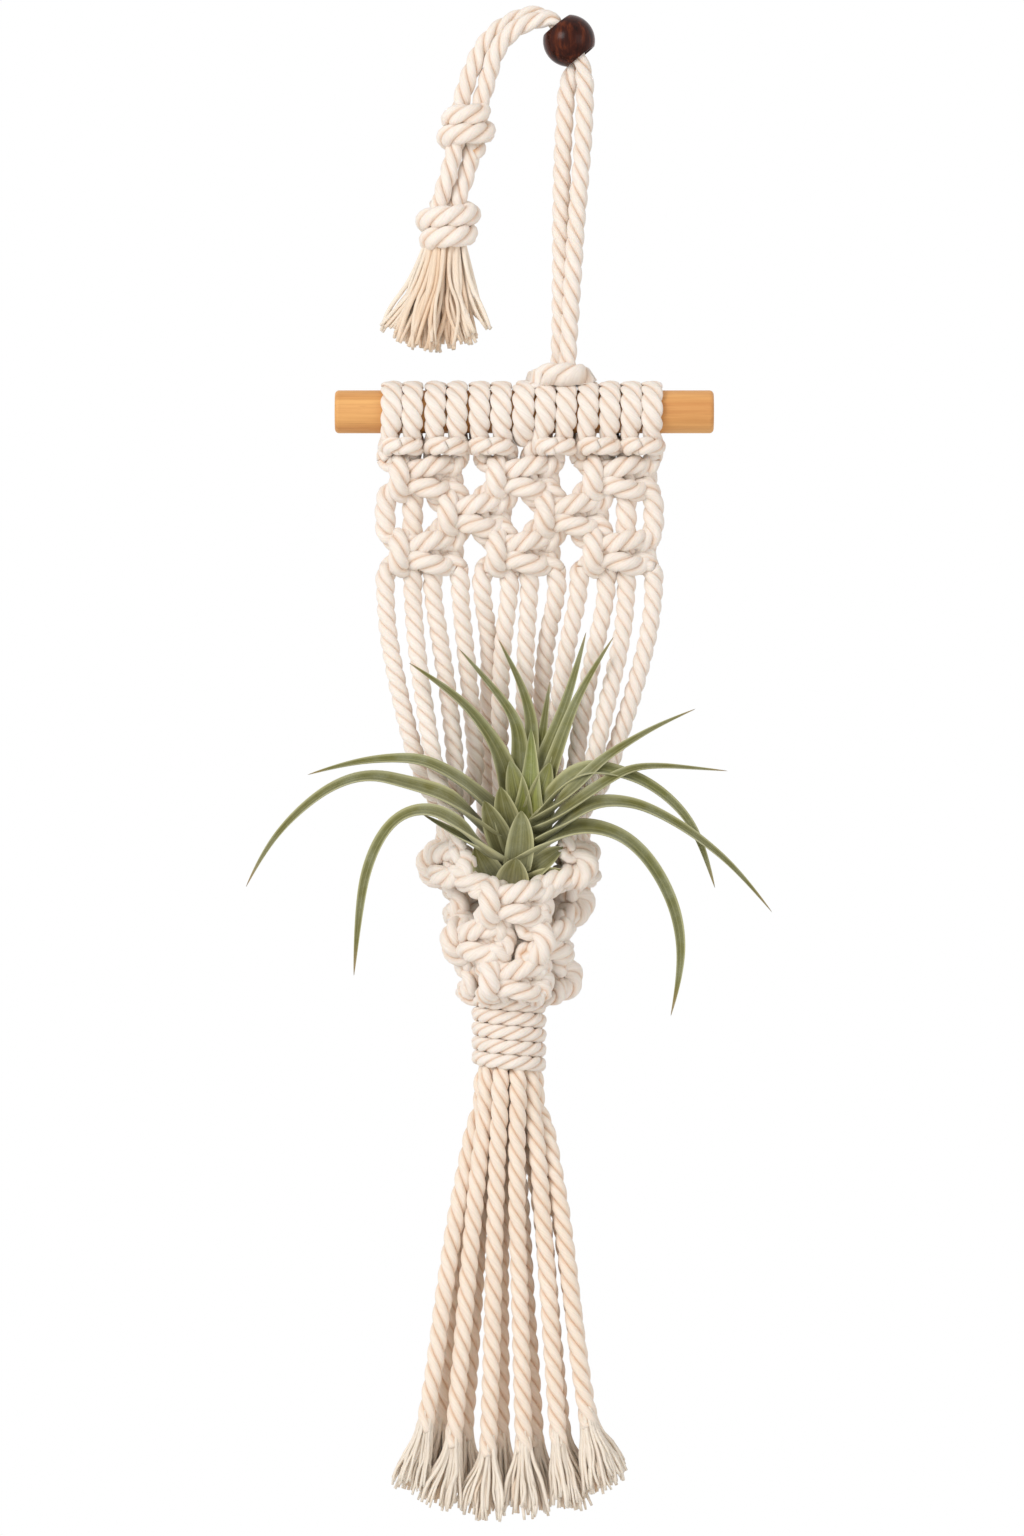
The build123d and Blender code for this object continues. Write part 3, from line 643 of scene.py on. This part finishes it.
def cord_route(number):
    """A working cord's way: over the dowel, through the panel and the basket, into the tail."""
    pair = HEADS[(number - 1) // 2]
    px, other = pair if number % 2 else pair[::-1]
    _, column, slot = PANEL_WAY[number][0]
    points = half_head(px, other, column_px(column) + SLOT_ACROSS[slot] * CORD_PX)
    for row, column, slot in PANEL_WAY[number]:
        joined(points, panel_knot(row, column, slot))
    points.append(points[-1] - UP * 0.0071)
    _, columns, depths = SIDE_WAY[number]
    points += [at(*place) for place in zip(columns, SIDE_LEVELS, depths)]
    for place, (row, bearing, slot) in enumerate(BASKET_WAY[number]):
        way = basket_knot(row, bearing, slot)
        if place == 0:
            points.append(way[0] + UP * 0.0062)
        joined(points, way)
    _, ring, bearing, columns, depths, end_level = TAIL_WAY[number]
    out = outward_at(bearing)
    inside = 0.0047 if ring > 1 else 0.0016
    points += [at(WRAP_PX, 1006) + out * inside, at(WRAP_PX, 1034) + out * inside]
    points += [at(WRAP_PX, 1056) + out * inside * 1.1, at(WRAP_PX, 1078) + out * ring * CORD * 0.98]
    start = at(WRAP_PX, 1097.1) + out * ring * CORD
    points += [start, start - UP * 0.0036]
    points += [at(*place) for place in zip(columns, (*TAIL_LEVELS, end_level), depths)]
    return points


# How a round turn is pressed: distances from the dowel's middle in pixels, before and after
ROUND_TURN = [17.2, 36.2]
PRESSED_TURN = [21.8, 31.6]
TURN_LIMIT = 42
TURN_FADE = 12.0
TURN_SPREAD = 0.17


def flattened(piece, wraps, lowest=436.0):
    """Presses the turns over the dowel flat against it, as the cord lies there."""
    mesh = piece.data
    co = points_of(mesh)
    px = co[:, 0] / PIXEL + ORIGIN_PX
    up = co[:, 2] / PIXEL - (ORIGIN_PY - DOWEL_Y)
    front = -co[:, 1] / PIXEL
    far = np.hypot(up, front)
    share = np.clip((up + (lowest - DOWEL_Y)) / TURN_FADE, 0, 1) * (far < TURN_LIMIT)
    new_far = np.interp(far, ROUND_TURN, PRESSED_TURN)
    scale = 1 + (new_far / np.maximum(far, 1e-6) - 1) * share
    wraps = np.array(wraps)
    nearest = wraps[np.argmin(np.abs(px[:, None] - wraps[None, :]), axis=1)]
    new_px = px + (px - nearest) * TURN_SPREAD * share
    co[:, 0] = (new_px - ORIGIN_PX) * PIXEL
    co[:, 1] = -front * scale * PIXEL
    co[:, 2] = (up * scale + ORIGIN_PY - DOWEL_Y) * PIXEL
    mesh.vertices.foreach_set("co", co.ravel())
    mesh.update()


# The CAD nodes' numbers, by the panel's columns and by the basket's bearings
COLUMN_PLACE = {-2: 1, 0: 2, 2: 3, -1: 1, 1: 2}
BEARING_PLACE = {
    "top": (90, 195, 345),
    "upper": (270, 30, 150),
    "lower": (90, 210, 330),
    "bottom": (270, 30, 150),
}


def panel_nodes(number):
    """The CAD nodes that a cord's stretch in the panel stands for."""
    names = []
    for row, column, _ in PANEL_WAY[number]:
        names.append("panel_knot_row" + str(row + 1) + "_" + str(COLUMN_PLACE[column]))
    if number in (1, 2):
        names.append("panel_edge_cords_left")
    if number in (11, 12):
        names.append("panel_edge_cords_right")
    return names


def basket_nodes(number):
    """The CAD nodes that a cord's stretch in the basket stands for."""
    names = []
    for row, bearing, _ in BASKET_WAY[number]:
        names.append("basket_knot_" + row + "_" + str(BEARING_PLACE[row].index(bearing) + 1))
    return names + ["gathered_cords"]


def finish_piece(piece, body, stands_for=()):
    """The body a piece rides on, if that is only one, and the CAD nodes it replaces."""
    if body:
        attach(piece, body)
    if stands_for:
        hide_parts(*stands_for)


# The rope's radius and pitch in millimetres, at levels in the photograph
RADIUS_LEVELS = [452, 470, 566, 600, 838, 862, 985, 1002, 1056, 1080]
RADII = [2.6, 2.95, 2.95, 2.55, 2.55, 3.1, 3.05, 1.8, 1.8, 2.5]
PITCH_LEVELS = [560, 590, 845, 870, 1060, 1110]
PITCHES = [14.0, 13.0, 13.0, 14.0, 14.0, 16.5]
# The levels where a cord is cut into pieces, and how many of its first points stay in the turn
HEAD_FOOT = 458
PANEL_FOOT = 570
BASKET_TOP = 846
WRAP_MIDDLE = 1054
TURN_POINTS = 60

tail_ends = {}


def dress_cord(number, line, down, strands, half):
    """The pieces of one working cord, cut where its body or its CAD node changes."""
    direction = 1 if half[-1] > half[0] else -1

    def place_of(level, after):
        """The first place at or under a level, not before another place."""
        return next(i for i in range(after, len(half)) if down[half[i]] >= level)

    def stretch(name, start, end, material=cotton_main):
        """The piece between two places, and its middle line from the top down."""
        low, high = sorted((half[start], half[end]))
        part = slice(low, high + 1)
        piece = rope(name, line, material=material, part=part, strands=strands)
        return piece, line[part][::direction]

    head_end = place_of(HEAD_FOOT, TURN_POINTS)
    side_start = max(i for i in range(len(half)) if down[half[i]] < PANEL_FOOT)
    side_end = place_of(BASKET_TOP, side_start)
    tail_start = place_of(WRAP_MIDDLE, side_end)

    piece, _ = stretch("larks_head_end_" + str(number), 0, head_end)
    flattened(piece, [px for pair in HEADS for px in pair])
    finish_piece(piece, "panel", stands_for=["larks_head_" + str((number + 1) // 2)])

    piece, _ = stretch("panel_rope_" + str(number), head_end, side_start)
    finish_piece(piece, "panel", stands_for=panel_nodes(number))

    side = SIDE_WAY[number][0]
    piece, path = stretch("side_rope_" + side, side_start, side_end)
    finish_piece(piece, None, stands_for=["side_cord_" + side])
    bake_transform(piece)

    piece, _ = stretch("basket_rope_" + str(number), side_end, tail_start)
    finish_piece(piece, "basket", stands_for=basket_nodes(number))

    tail = TAIL_WAY[number][0]
    piece, path = stretch("tail_rope_" + tail, tail_start, len(half) - 1, cotton_tail)
    finish_piece(piece, None, stands_for=["tail_head", "tail_cords_" + tail.split("_")[0]])
    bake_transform(piece)
    tail_ends[tail] = (piece, path)


def make_working_cords():
    """Six cords, each folded over the dowel: twelve ends through the panel, the basket and the tail."""
    for head in range(6):
        first = 2 * head + 1
        one, two = cord_route(first), cord_route(first + 1)
        line = smooth(one[::-1] + two[1:])
        down = down_px(line)
        index = np.arange(len(line))
        # The fold's middle: the point nearest the band, and of several the nearest to half the length
        away = np.abs(line[:, 0] - one[0][0]) + np.abs(down - BAND_PY) * PIXEL
        away = away + np.abs(line[:, 1] - one[0][1])
        middle = int(np.argmin(away + np.abs(index - len(line) / 2) * 1e-6))
        radius = np.interp(down, RADIUS_LEVELS, RADII) * 0.001
        pitch = np.interp(down, PITCH_LEVELS, PITCHES) * 0.001
        strands = strand_lines(line, radius, pitch, phase=0.7 * head)
        dress_cord(first, line, down, strands, index[middle::-1])
        dress_cord(first + 1, line, down, strands, index[middle:])


# Yarns
def yarn_bundle(name, count, make_line, thickness, body, around=4):
    """Loose yarns as one piece; make_line gives each yarn's line and how open to the light it lies, which
    sets the yarn's painted shade.
    """
    lines, radii, shades = [], [], []
    for _ in range(count):
        line, lit_share = make_line()
        lines.append(line)
        # Painted shade: yarns inside the bundle and at its back darker, through the cotton's groove colour
        shades.append(np.full(len(line) * around, 0.66 + 0.34 * lit_share, np.float32))
        taper = np.interp(np.linspace(0, 1, len(line)), [0, 0.85, 1], [1, 0.95, 0.7])
        radii.append(taper * thickness * random.uniform(0.75, 1.25))
    piece = tubes(name, lines, radii, lines, around=around)
    piece.data.attributes["shade_mask"].data.foreach_set("value", np.concatenate(shades))
    piece.data.materials.append(cotton_yarn)
    finish_piece(piece, body)
    return piece


def place_in_bundle():
    """A random bearing and a random reach, even over a round bundle."""
    return random.uniform(0, 2 * math.pi), math.sqrt(random.random())


def openness(angle, spread):
    """How open to the light a yarn lies, by its side and its reach."""
    return min(1.0, spread * (0.7 - 0.5 * math.sin(angle)) + random.uniform(0, 0.35))


def drift(sideways, deep):
    """A small random shift, level."""
    return np.array([random.gauss(0, sideways), random.gauss(0, deep), 0.0])


# Where each rope's fray ends in the photograph, at its left and its right
FRAY_ENDS = {
    "front_1": ((391, 1484), (430, 1492)), "front_2": ((416, 1497), (463, 1511)),
    "front_3": ((458, 1512), (508, 1519)), "front_4": ((503, 1511), (552, 1517)),
    "front_5": ((548, 1503), (590, 1509)), "front_6": ((579, 1495), (625, 1479)),
    "back_1": ((402, 1484), (446, 1492)), "back_2": ((436, 1492), (484, 1500)),
    "back_3": ((480, 1500), (524, 1504)), "back_4": ((520, 1500), (564, 1504)),
    "back_5": ((556, 1494), (600, 1492)), "back_6": ((588, 1484), (628, 1470)),
}
FRAY_YARNS = 62
TASSEL_YARNS = 130
TASSEL_PX = 445


def make_frays():
    """The yarns of the twelve frayed rope ends."""
    for name, (cord_piece, path) in tail_ends.items():
        end, way = path[-1], path[-1] - path[-6]
        way = way / np.linalg.norm(way)
        (left_px, left_py), (right_px, right_py) = FRAY_ENDS[name]
        depth = -end[1] / PIXEL

        def fray_yarn():
            angle, spread = place_in_bundle()
            outward = np.array([math.cos(angle), math.sin(angle), 0.0]) * spread * HALF
            start = end - way * 0.006 + outward * 0.6
            mouth = end + way * 0.0015 + outward * 0.95
            share = 0.5 + 0.5 * math.cos(angle) * spread
            foot_px = left_px + (right_px - left_px) * share + random.gauss(0, 2.0)
            foot_py = left_py + (right_py - left_py) * share + random.uniform(-12, 5) - abs(share - 0.5) * 8
            foot = at(foot_px, foot_py, depth - math.sin(angle) * spread * 17 + random.gauss(0, 1.5))
            bow = mouth * 0.62 + foot * 0.38
            bow[:2] += (bow[:2] - (end + way * 0.008)[:2]) * 0.18 + drift(0.0005, 0.0005)[:2]
            low = start * 0.2 + foot * 0.8 + drift(0.0006, 0.0006)
            return smooth([start, mouth, bow, low, foot], 0.0022), openness(angle, spread)

        piece = yarn_bundle("fray_" + name, FRAY_YARNS, fray_yarn, 0.00056, "tail")


def tassel_yarn():
    """One yarn of the hanger's foot, from inside the lower knot."""
    angle, spread = place_in_bundle()
    aside, forward = spread * math.cos(angle), spread * math.sin(angle)
    start = at(TASSEL_PX + 19 * aside, 240, 11 * forward)
    share = 0.5 + 0.5 * aside
    foot_px = 377 + 117 * share
    foot_py = 350 - 24 * (2 * share - 1) ** 2 + random.uniform(-9, 3)
    foot = at(foot_px + random.gauss(0, 2.2), foot_py, 26 * forward + random.gauss(0, 2))
    bend = at(TASSEL_PX + (foot_px - TASSEL_PX) * 0.42, 278, 17 * forward) + drift(0.0012, 0.0008)
    low = at(441 + (foot_px - 441) * 0.78, 312, 22 * forward) + drift(0.0015, 0.001)
    return smooth([start, bend, low, foot], 0.0024), openness(angle, spread)


def make_tassel():
    """The frayed foot of the hanger's pair."""
    piece = yarn_bundle("hanger_tassel_yarns", TASSEL_YARNS, tassel_yarn, 0.00066, "hanger", around=6)
    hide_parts("hanger_tassel")


# The hanger. Its pair rises from the hitch, goes through the bead and over the hook point to the tassel
BEAD_PLACE = (569, 41)
BORE = [(551.1, 18.1), (560.0, 29.5), (569.0, 41.0), (578.0, 52.5)]
BORE_DEPTH = 7.0
PAIR_REACH = 9.0
RISE_LEVELS = (386, 366, 346, 290, 225, 165, 110, 86, 72)
RISE_DEPTHS = (6, 8, 7, 6, 5, 4, 3, 5, 6)
# Over the hook point: the pair's middle, each cord's way off it, and its direction across the pair
ARC = [
    (534, 17.5, 4.5, -0.15, -1.0),
    (520, 21.5, 4.5, -0.35, -0.93),
    (503, 32, 6, -0.62, -0.78),
    (489, 49, 7.5, -0.85, -0.52),
    (481, 70, 9, -0.96, -0.28),
    (474, 92, 10, -0.97, -0.2),
    (468, 112, 9, -0.98, -0.15),
]
# The two cords: side, pixel columns at the rise's levels, and the way down through the knots
HANGER_PAIR = {
    "left": (
        1,
        (559.5, 559.5, 560, 561, 561, 562, 565, 567, 572),
        [(460, 130, 3), (453.5, 154, 3), (448.5, 176, 5), (440, 200, 3), (438, 222, 2), (440, 250, 0)],
    ),
    "right": (
        -1,
        (567.5, 567.5, 568, 572, 576, 581.5, 585, 585, 584),
        [(474, 132, -3), (471.5, 156, -3), (465, 180, -5), (456, 203, -3), (452, 226, -2), (450, 250, 0)],
    ),
}
# The knots' turns in pixels: middle, lean in degrees, radius, pitch, thickness, strands' phase, first angle
HANGER_KNOTS = {
    "upper": ((467.5, 130.5), 11.0, 18.5, 19.5, 10.8, 3.4, -0.3),
    "lower": ((447.5, 224.0), 7.0, 21.0, 20.5, 11.2, 3.0, 2.6),
}
KNOT_TURNS = 2.05
KNOT_STEPS = 26
KNOT_PITCH = 0.0145
HITCH_PX = 523.5
# The hitch's collar on top of the dowel, round the foot of the pair
COLLAR = [
    (530, 383, 9), (543, 375, 14), (552, 373, 20), (568, 373, 19), (580, 374, 12),
    (583, 375, 0), (577, 375, -12), (562, 374, -18), (545, 375, -16), (530, 381, -11),
]


def make_hanger_pair():
    """The pair of cords, thinner where it fills the bead."""
    for name, (side, columns, foot) in HANGER_PAIR.items():
        points = [at(px, py, -side * deep) for px, py, deep in zip(columns, RISE_LEVELS, RISE_DEPTHS)]
        points += [at(px, py, -side * BORE_DEPTH) for px, py in reversed(BORE)]
        for px, py, apart, across, up in ARC:
            deep = math.sqrt(max(PAIR_REACH**2 - apart**2, 0)) * (1 if apart < 8 else 0.5)
            points.append(at(px + across * apart * side, py + up * apart * side, -side * deep))
        points += [at(*place) for place in foot]
        line = smooth(points)
        near = np.linalg.norm(line - at(*BEAD_PLACE), axis=1) / PIXEL
        radius = np.interp(near, [20, 40], [1.95, 2.55]) * 0.001
        piece = rope("hanger_rope_" + name, line, radius, 0.016, side, cotton_main)
        finish_piece(piece, "hanger", stands_for=["hanger_cords", "hanger_knot_core"])


def make_hanger_knots():
    """The turns wound round the pair at its two knots."""
    for name, ((px, py), lean, radius, pitch, thick, phase, begin) in HANGER_KNOTS.items():
        tilt = math.radians(lean)
        points = []
        for step in range(KNOT_STEPS + 1):
            share = step / KNOT_STEPS
            angle = begin + share * KNOT_TURNS * 2 * math.pi
            reach = radius * min(1.0, 0.45 + 4.5 * min(share, 1 - share))
            aside = math.cos(angle) * reach
            up = (share - 0.5) * pitch * KNOT_TURNS
            across = aside * math.cos(tilt) + up * math.sin(tilt)
            high = -aside * math.sin(tilt) * 0.6 + up * math.cos(tilt)
            points.append(at(px + across * 1.05, py - high, -math.sin(angle) * reach * 0.82))
        line = smooth(points)
        piece = rope("hanger_knot_turns_" + name, line, thick * PIXEL, KNOT_PITCH, phase, cotton_main)
        finish_piece(piece, "hanger", stands_for=["hanger_knot_" + name])


def make_hitch():
    """The hitch: a collar on top of the dowel between two stretches round it."""
    points = round_dowel(HITCH_PX, range(-150, 91, 24))
    points += [at(*place) for place in COLLAR]
    points += round_dowel(HITCH_PX, range(104, 211, 24))
    piece = rope("hanger_hitch_rope", smooth(points), 0.0027, KNOT_PITCH, 1.0, cotton_main)
    flattened(piece, [HITCH_PX, 560.0], 446.0)
    finish_piece(piece, "hanger", stands_for=["hanger_hitch"])


def make_gathering():
    """The cord wound round the gathered cords, drawn in at its two ends."""
    turns, top, pitch, reach, drawn_in = 4.95, 995.5, 14.5, 31.0, 7.0
    count = int(turns * 14)
    points = []
    for step in range(count + 1):
        share = step / count
        angle = math.pi / 2 + share * turns * 2 * math.pi
        start = max(0.0, 1 - share * turns * 6)
        end = max(0.0, 1 - (1 - share) * turns * 6)
        away = reach - drawn_in * start - drawn_in * end
        py = top + share * turns * pitch
        points.append(at(WRAP_PX + away * math.cos(angle), py, -away * math.sin(angle)))
    piece = rope("gathering_rope", smooth(points), 0.00216, 0.013, material=cotton_main)
    finish_piece(piece, "basket", stands_for=["gathering_wrap"])


# The air plant. Across a leaf: places on its upper face and on its under face
LEAF_TOP = [-1.0, -0.86, -0.52, 0.0, 0.52, 0.86, 1.0]
LEAF_UNDER = [0.84, 0.45, 0.0, -0.45, -0.84]
FACING = np.array([0.0, -0.6, 0.8])
SHORT_FACING = np.array([0.0, -0.95, 0.3])
LEAF_STEP = 0.0028
FOOT_THICK = 0.0014
TIP_THICK = 0.0005
TIP_WIDTH = 0.00012


def mesh_from(bm, name):
    """A bmesh as a new mesh."""
    mesh = bpy.data.meshes.new(name)
    bm.to_mesh(mesh)
    bm.free()
    return mesh


def width_share(share, ovate):
    """A leaf's width along it: full to beyond the middle, or tapering from the foot."""
    if ovate:
        return max(1 - share**2.4, 0.0) ** 0.8 * (0.8 + 0.3 * share)
    return max(1 - share, 0.0) ** 0.7 * (0.76 + 0.42 * math.exp(-share * 6))


def leaf_shape(name, width_px, points, young, facing=FACING, ovate=False, fold=0.2):
    """A leaf: a grid closed round into a thin channelled blade that tapers to its tip."""
    line = nurbs_line([at(*place) for place in points])
    length = travelled(line)[-1]
    line = evenly(line, length / max(14, int(length / LEAF_STEP)))
    stations = len(line) - 1
    way = unit(np.gradient(line, axis=0))
    upward = unit(facing[None, :] - way * (way @ facing)[:, None])
    across = np.cross(way, upward)
    ring = LEAF_TOP + LEAF_UNDER
    sides = len(ring)
    bm = bmesh.new()
    layer = bm.verts.layers.float_vector.new("blade")
    bmesh.ops.create_grid(bm, x_segments=stations, y_segments=sides, size=1.0)
    for vert in bm.verts:
        i = int(round((vert.co.x + 1) / 2 * stations))
        j = int(round((vert.co.y + 1) / 2 * sides)) % sides
        share = i / stations
        width = TIP_WIDTH if i == stations else width_px * PIXEL * width_share(share, ovate)
        a = ring[j]
        thick = FOOT_THICK + (TIP_THICK - FOOT_THICK) * share
        thick *= min(1.0, width / 0.004 + 0.15) * (1 - 0.72 * abs(a) ** 2)
        channel = width * fold * abs(a) ** 1.6
        height = channel - width * fold * 0.5 - (thick if j >= len(LEAF_TOP) else 0.0)
        # An ovate leaf takes only the colours of a long leaf's lower part
        vert[layer] = (a, share * (0.3 if ovate else 1.0), young)
        vert.co = line[i] + across[i] * (width / 2 * a) + upward[i] * height
    bmesh.ops.remove_doubles(bm, verts=bm.verts, dist=0.00003)
    bmesh.ops.holes_fill(bm, edges=[e for e in bm.edges if e.is_boundary], sides=0)
    bmesh.ops.recalc_face_normals(bm, faces=bm.faces)
    mesh = mesh_from(bm, name)
    shade_smooth(mesh)
    mesh.materials.append(leaf_finish)
    piece = placed(name, mesh)
    rounding = piece.modifiers.new("rounding", "SUBSURF")
    rounding.levels = rounding.render_levels = 1
    finish_piece(piece, "plant", ["air_plant"])


# Each leaf: width, the points of its middle from foot to tip, and how young it is. Three points are a
# short leaf
LEAVES = [
    (36, [
        (503, 818, 12), (476, 788, 38), (431, 761, 60), (400, 757, 60), (350, 762, 52),
        (308, 775, 44),
    ], 0.1),
    (36, [
        (497, 836, 12), (474, 813, 52), (446, 793, 70), (410, 783, 64), (370, 773, 56),
        (330, 786, 50), (290, 819, 44), (262, 856, 40), (247, 887, 38),
    ], 0.0),
    (34, [(503, 868, 12), (492, 852, 40), (474, 841, 66), (450, 829, 74), (422, 813, 68)], 0.0),
    (36, [(518, 815, 8), (505, 760, 16), (480, 720, 28), (450, 690, 38), (409, 663, 40)], 0.15),
    (30, [(520, 812, 6), (521, 756, 8), (517, 720, 14), (492, 686, 20), (459, 649, 22)], 0.2),
    (28, [(526, 810, 4), (533, 740, 4), (530, 709, 4), (515, 670, 8), (498, 639, 9)], 0.1),
    (24, [(532, 808, 2), (538, 765, 2), (545, 715, 4), (550, 681, 8)], 0.0),
    (28, [(532, 810, 8), (540, 762, 14), (568, 702, 24), (586, 632, 26)], 0.1),
    (28, [(534, 814, 10), (547, 781, 18), (562, 735, 28), (582, 686, 34), (613.5, 637, 36)], 0.1),
    (38, [
        (528, 822, 14), (549, 792, 42), (574, 770, 60), (600, 766, 62), (646, 780, 54),
        (683, 811, 48), (702, 846, 44), (714, 888, 42),
    ], 0.2),
    (28, [
        (532, 822, 18), (548, 808, 54), (572, 788, 72), (600, 760, 60), (631, 740, 50),
        (662, 723, 44), (695, 709, 40),
    ], 0.0),
    (28, [
        (534, 830, 18), (545, 822, 58), (580, 797, 80), (625, 768, 62), (657, 765, 52),
        (693, 768, 46), (727, 771, 42),
    ], 0.0),
    (34, [
        (530, 846, 16), (556, 824, 76), (592, 800, 78), (631, 801, 70), (662, 814, 60),
        (700, 838, 54), (740, 873, 48), (771, 912, 44),
    ], 0.0),
    (38, [
        (521, 858, 18), (544, 838, 62), (572, 826, 74), (599, 826, 74), (630, 839, 68),
        (658, 872, 62), (678, 918, 58), (681, 970, 54), (669.5, 1015, 52),
    ], 0.1),
    (31, [(517, 868, 40), (522, 842, 58), (521, 810, 56)], 0.1),
    (38, [(511, 892, 40), (513, 876, 54), (516, 857, 56)], 0.0),
    (26, [(522, 854, 16), (537, 841, 36), (552, 824, 46)], 0.0),
    (34, [
        (508, 862, 14), (490, 850, 50), (466, 826, 84), (432, 806, 90), (398, 814, 84),
        (374, 848, 74), (360, 900, 64), (355, 975, 56),
    ], 0.0),
    # Short leaves that fill the rosette's middle
    (30, [(510, 862, 26), (496, 832, 44), (484, 800, 50)], 0.0),
    (30, [(516, 850, 26), (506, 820, 40), (500, 786, 42)], 0.1),
    (30, [(526, 852, 26), (540, 826, 44), (553, 800, 48)], 0.0),
    (34, [(500, 890, 28), (486, 872, 44), (475, 846, 50)], 0.0),
    (26, [(520, 878, 32), (540, 862, 50), (563, 846, 52)], 0.0),
    (27, [(522, 892, 34), (540, 880, 50), (562, 869, 50)], 0.0),
    (26, [(522, 822, 16), (518, 792, 28), (510, 760, 28)], 0.5),
    (26, [(530, 822, 16), (542, 792, 28), (550, 762, 28)], 0.5),
    (34, [(527, 822, 22), (532, 782, 28), (531, 728, 24)], 1.0),
]


def make_plant():
    """The leaves round a small hidden core."""
    for place, (width, points, young) in enumerate(LEAVES):
        name = "leaf_" + str(place + 1)
        if len(points) == 3:
            leaf_shape(name, width * 1.15, points, young, SHORT_FACING, young < 1.0, 0.3)
        else:
            leaf_shape(name, width, points, young)
    bm = bmesh.new()
    bmesh.ops.create_uvsphere(bm, u_segments=24, v_segments=16, radius=1.0)
    layer = bm.verts.layers.float_vector.new("blade")
    for vert in bm.verts:
        vert[layer] = (0.4, 0.05, 0.0)
        high = vert.co.z
        reach = 24.0 * (1 - 0.35 * max(high, 0.0))
        vert.co = at(515 + vert.co.x * reach, 848 - high * 40, 5 - vert.co.y * reach)
    mesh = mesh_from(bm, "leaf_rosette_core")
    shade_smooth(mesh)
    mesh.materials.append(leaf_finish)
    finish_piece(placed("leaf_rosette_core", mesh), "plant", ["air_plant"])


make_working_cords()
make_frays()
make_hanger_pair()
make_hanger_knots()
make_hitch()
make_tassel()
make_gathering()
make_plant()


# Studio
def lamp(name, place, target, size, power):
    """A square lamp that shines from one place to another."""
    data = bpy.data.lights.new(name, "AREA")
    data.shape = "SQUARE"
    data.size = size
    data.energy = power
    made = placed(name, data)
    made.location = place
    way = np.array(target) - np.array(place)
    pitch = math.atan2(math.hypot(way[0], way[1]), -way[2])
    made.rotation_euler = (pitch, 0.0, math.atan2(way[1], way[0]) - math.pi / 2)


lamp("key_light", (-1.3, -1.7, 0.7), (0, 0, -0.2), 1.0, 23.5)
lamp("fill_light", (1.6, -1.5, 0.1), (0, 0, -0.2), 1.3, 5)


def background(tree, strength):
    made = node(tree, "ShaderNodeBackground")
    tune(made, {"Color": WHITE, "Strength": strength})
    return made.outputs[0]


# Pure white behind the part and in its reflections, softer as light
world = bpy.data.worlds.new("studio")
bpy.context.scene.world = world
world.use_nodes = True
tree = world.node_tree
tree.nodes.clear()
paths = node(tree, "ShaderNodeLightPath").outputs
through = maths(tree, "MAXIMUM", paths["Is Glossy Ray"], paths["Is Transmission Ray"])
seen = maths(tree, "MAXIMUM", paths["Is Camera Ray"], through)
chosen = node(tree, "ShaderNodeMixShader")
tree.links.new(seen, chosen.inputs[0])
tree.links.new(background(tree, 0.7), chosen.inputs[1])
tree.links.new(background(tree, 1.0), chosen.inputs[2])
out = node(tree, "ShaderNodeOutputWorld")
tree.links.new(chosen.outputs[0], out.inputs["Surface"])

FLOOR_HALF = 1.7
FLOOR_LEVEL = -0.62
bm = bmesh.new()
bmesh.ops.create_grid(bm, x_segments=1, y_segments=1, size=FLOOR_HALF)
for vert in bm.verts:
    vert.co.z = FLOOR_LEVEL
floor = placed("floor", mesh_from(bm, "floor"))
floor_paint, _, floor_shader = new_material("pale_floor", 0.85)
tune(floor_shader, {"Base Color": (0.86, 0.86, 0.85, 1.0)})
floor.data.materials.append(floor_paint)

bpy.context.scene.view_settings.view_transform = "Standard"
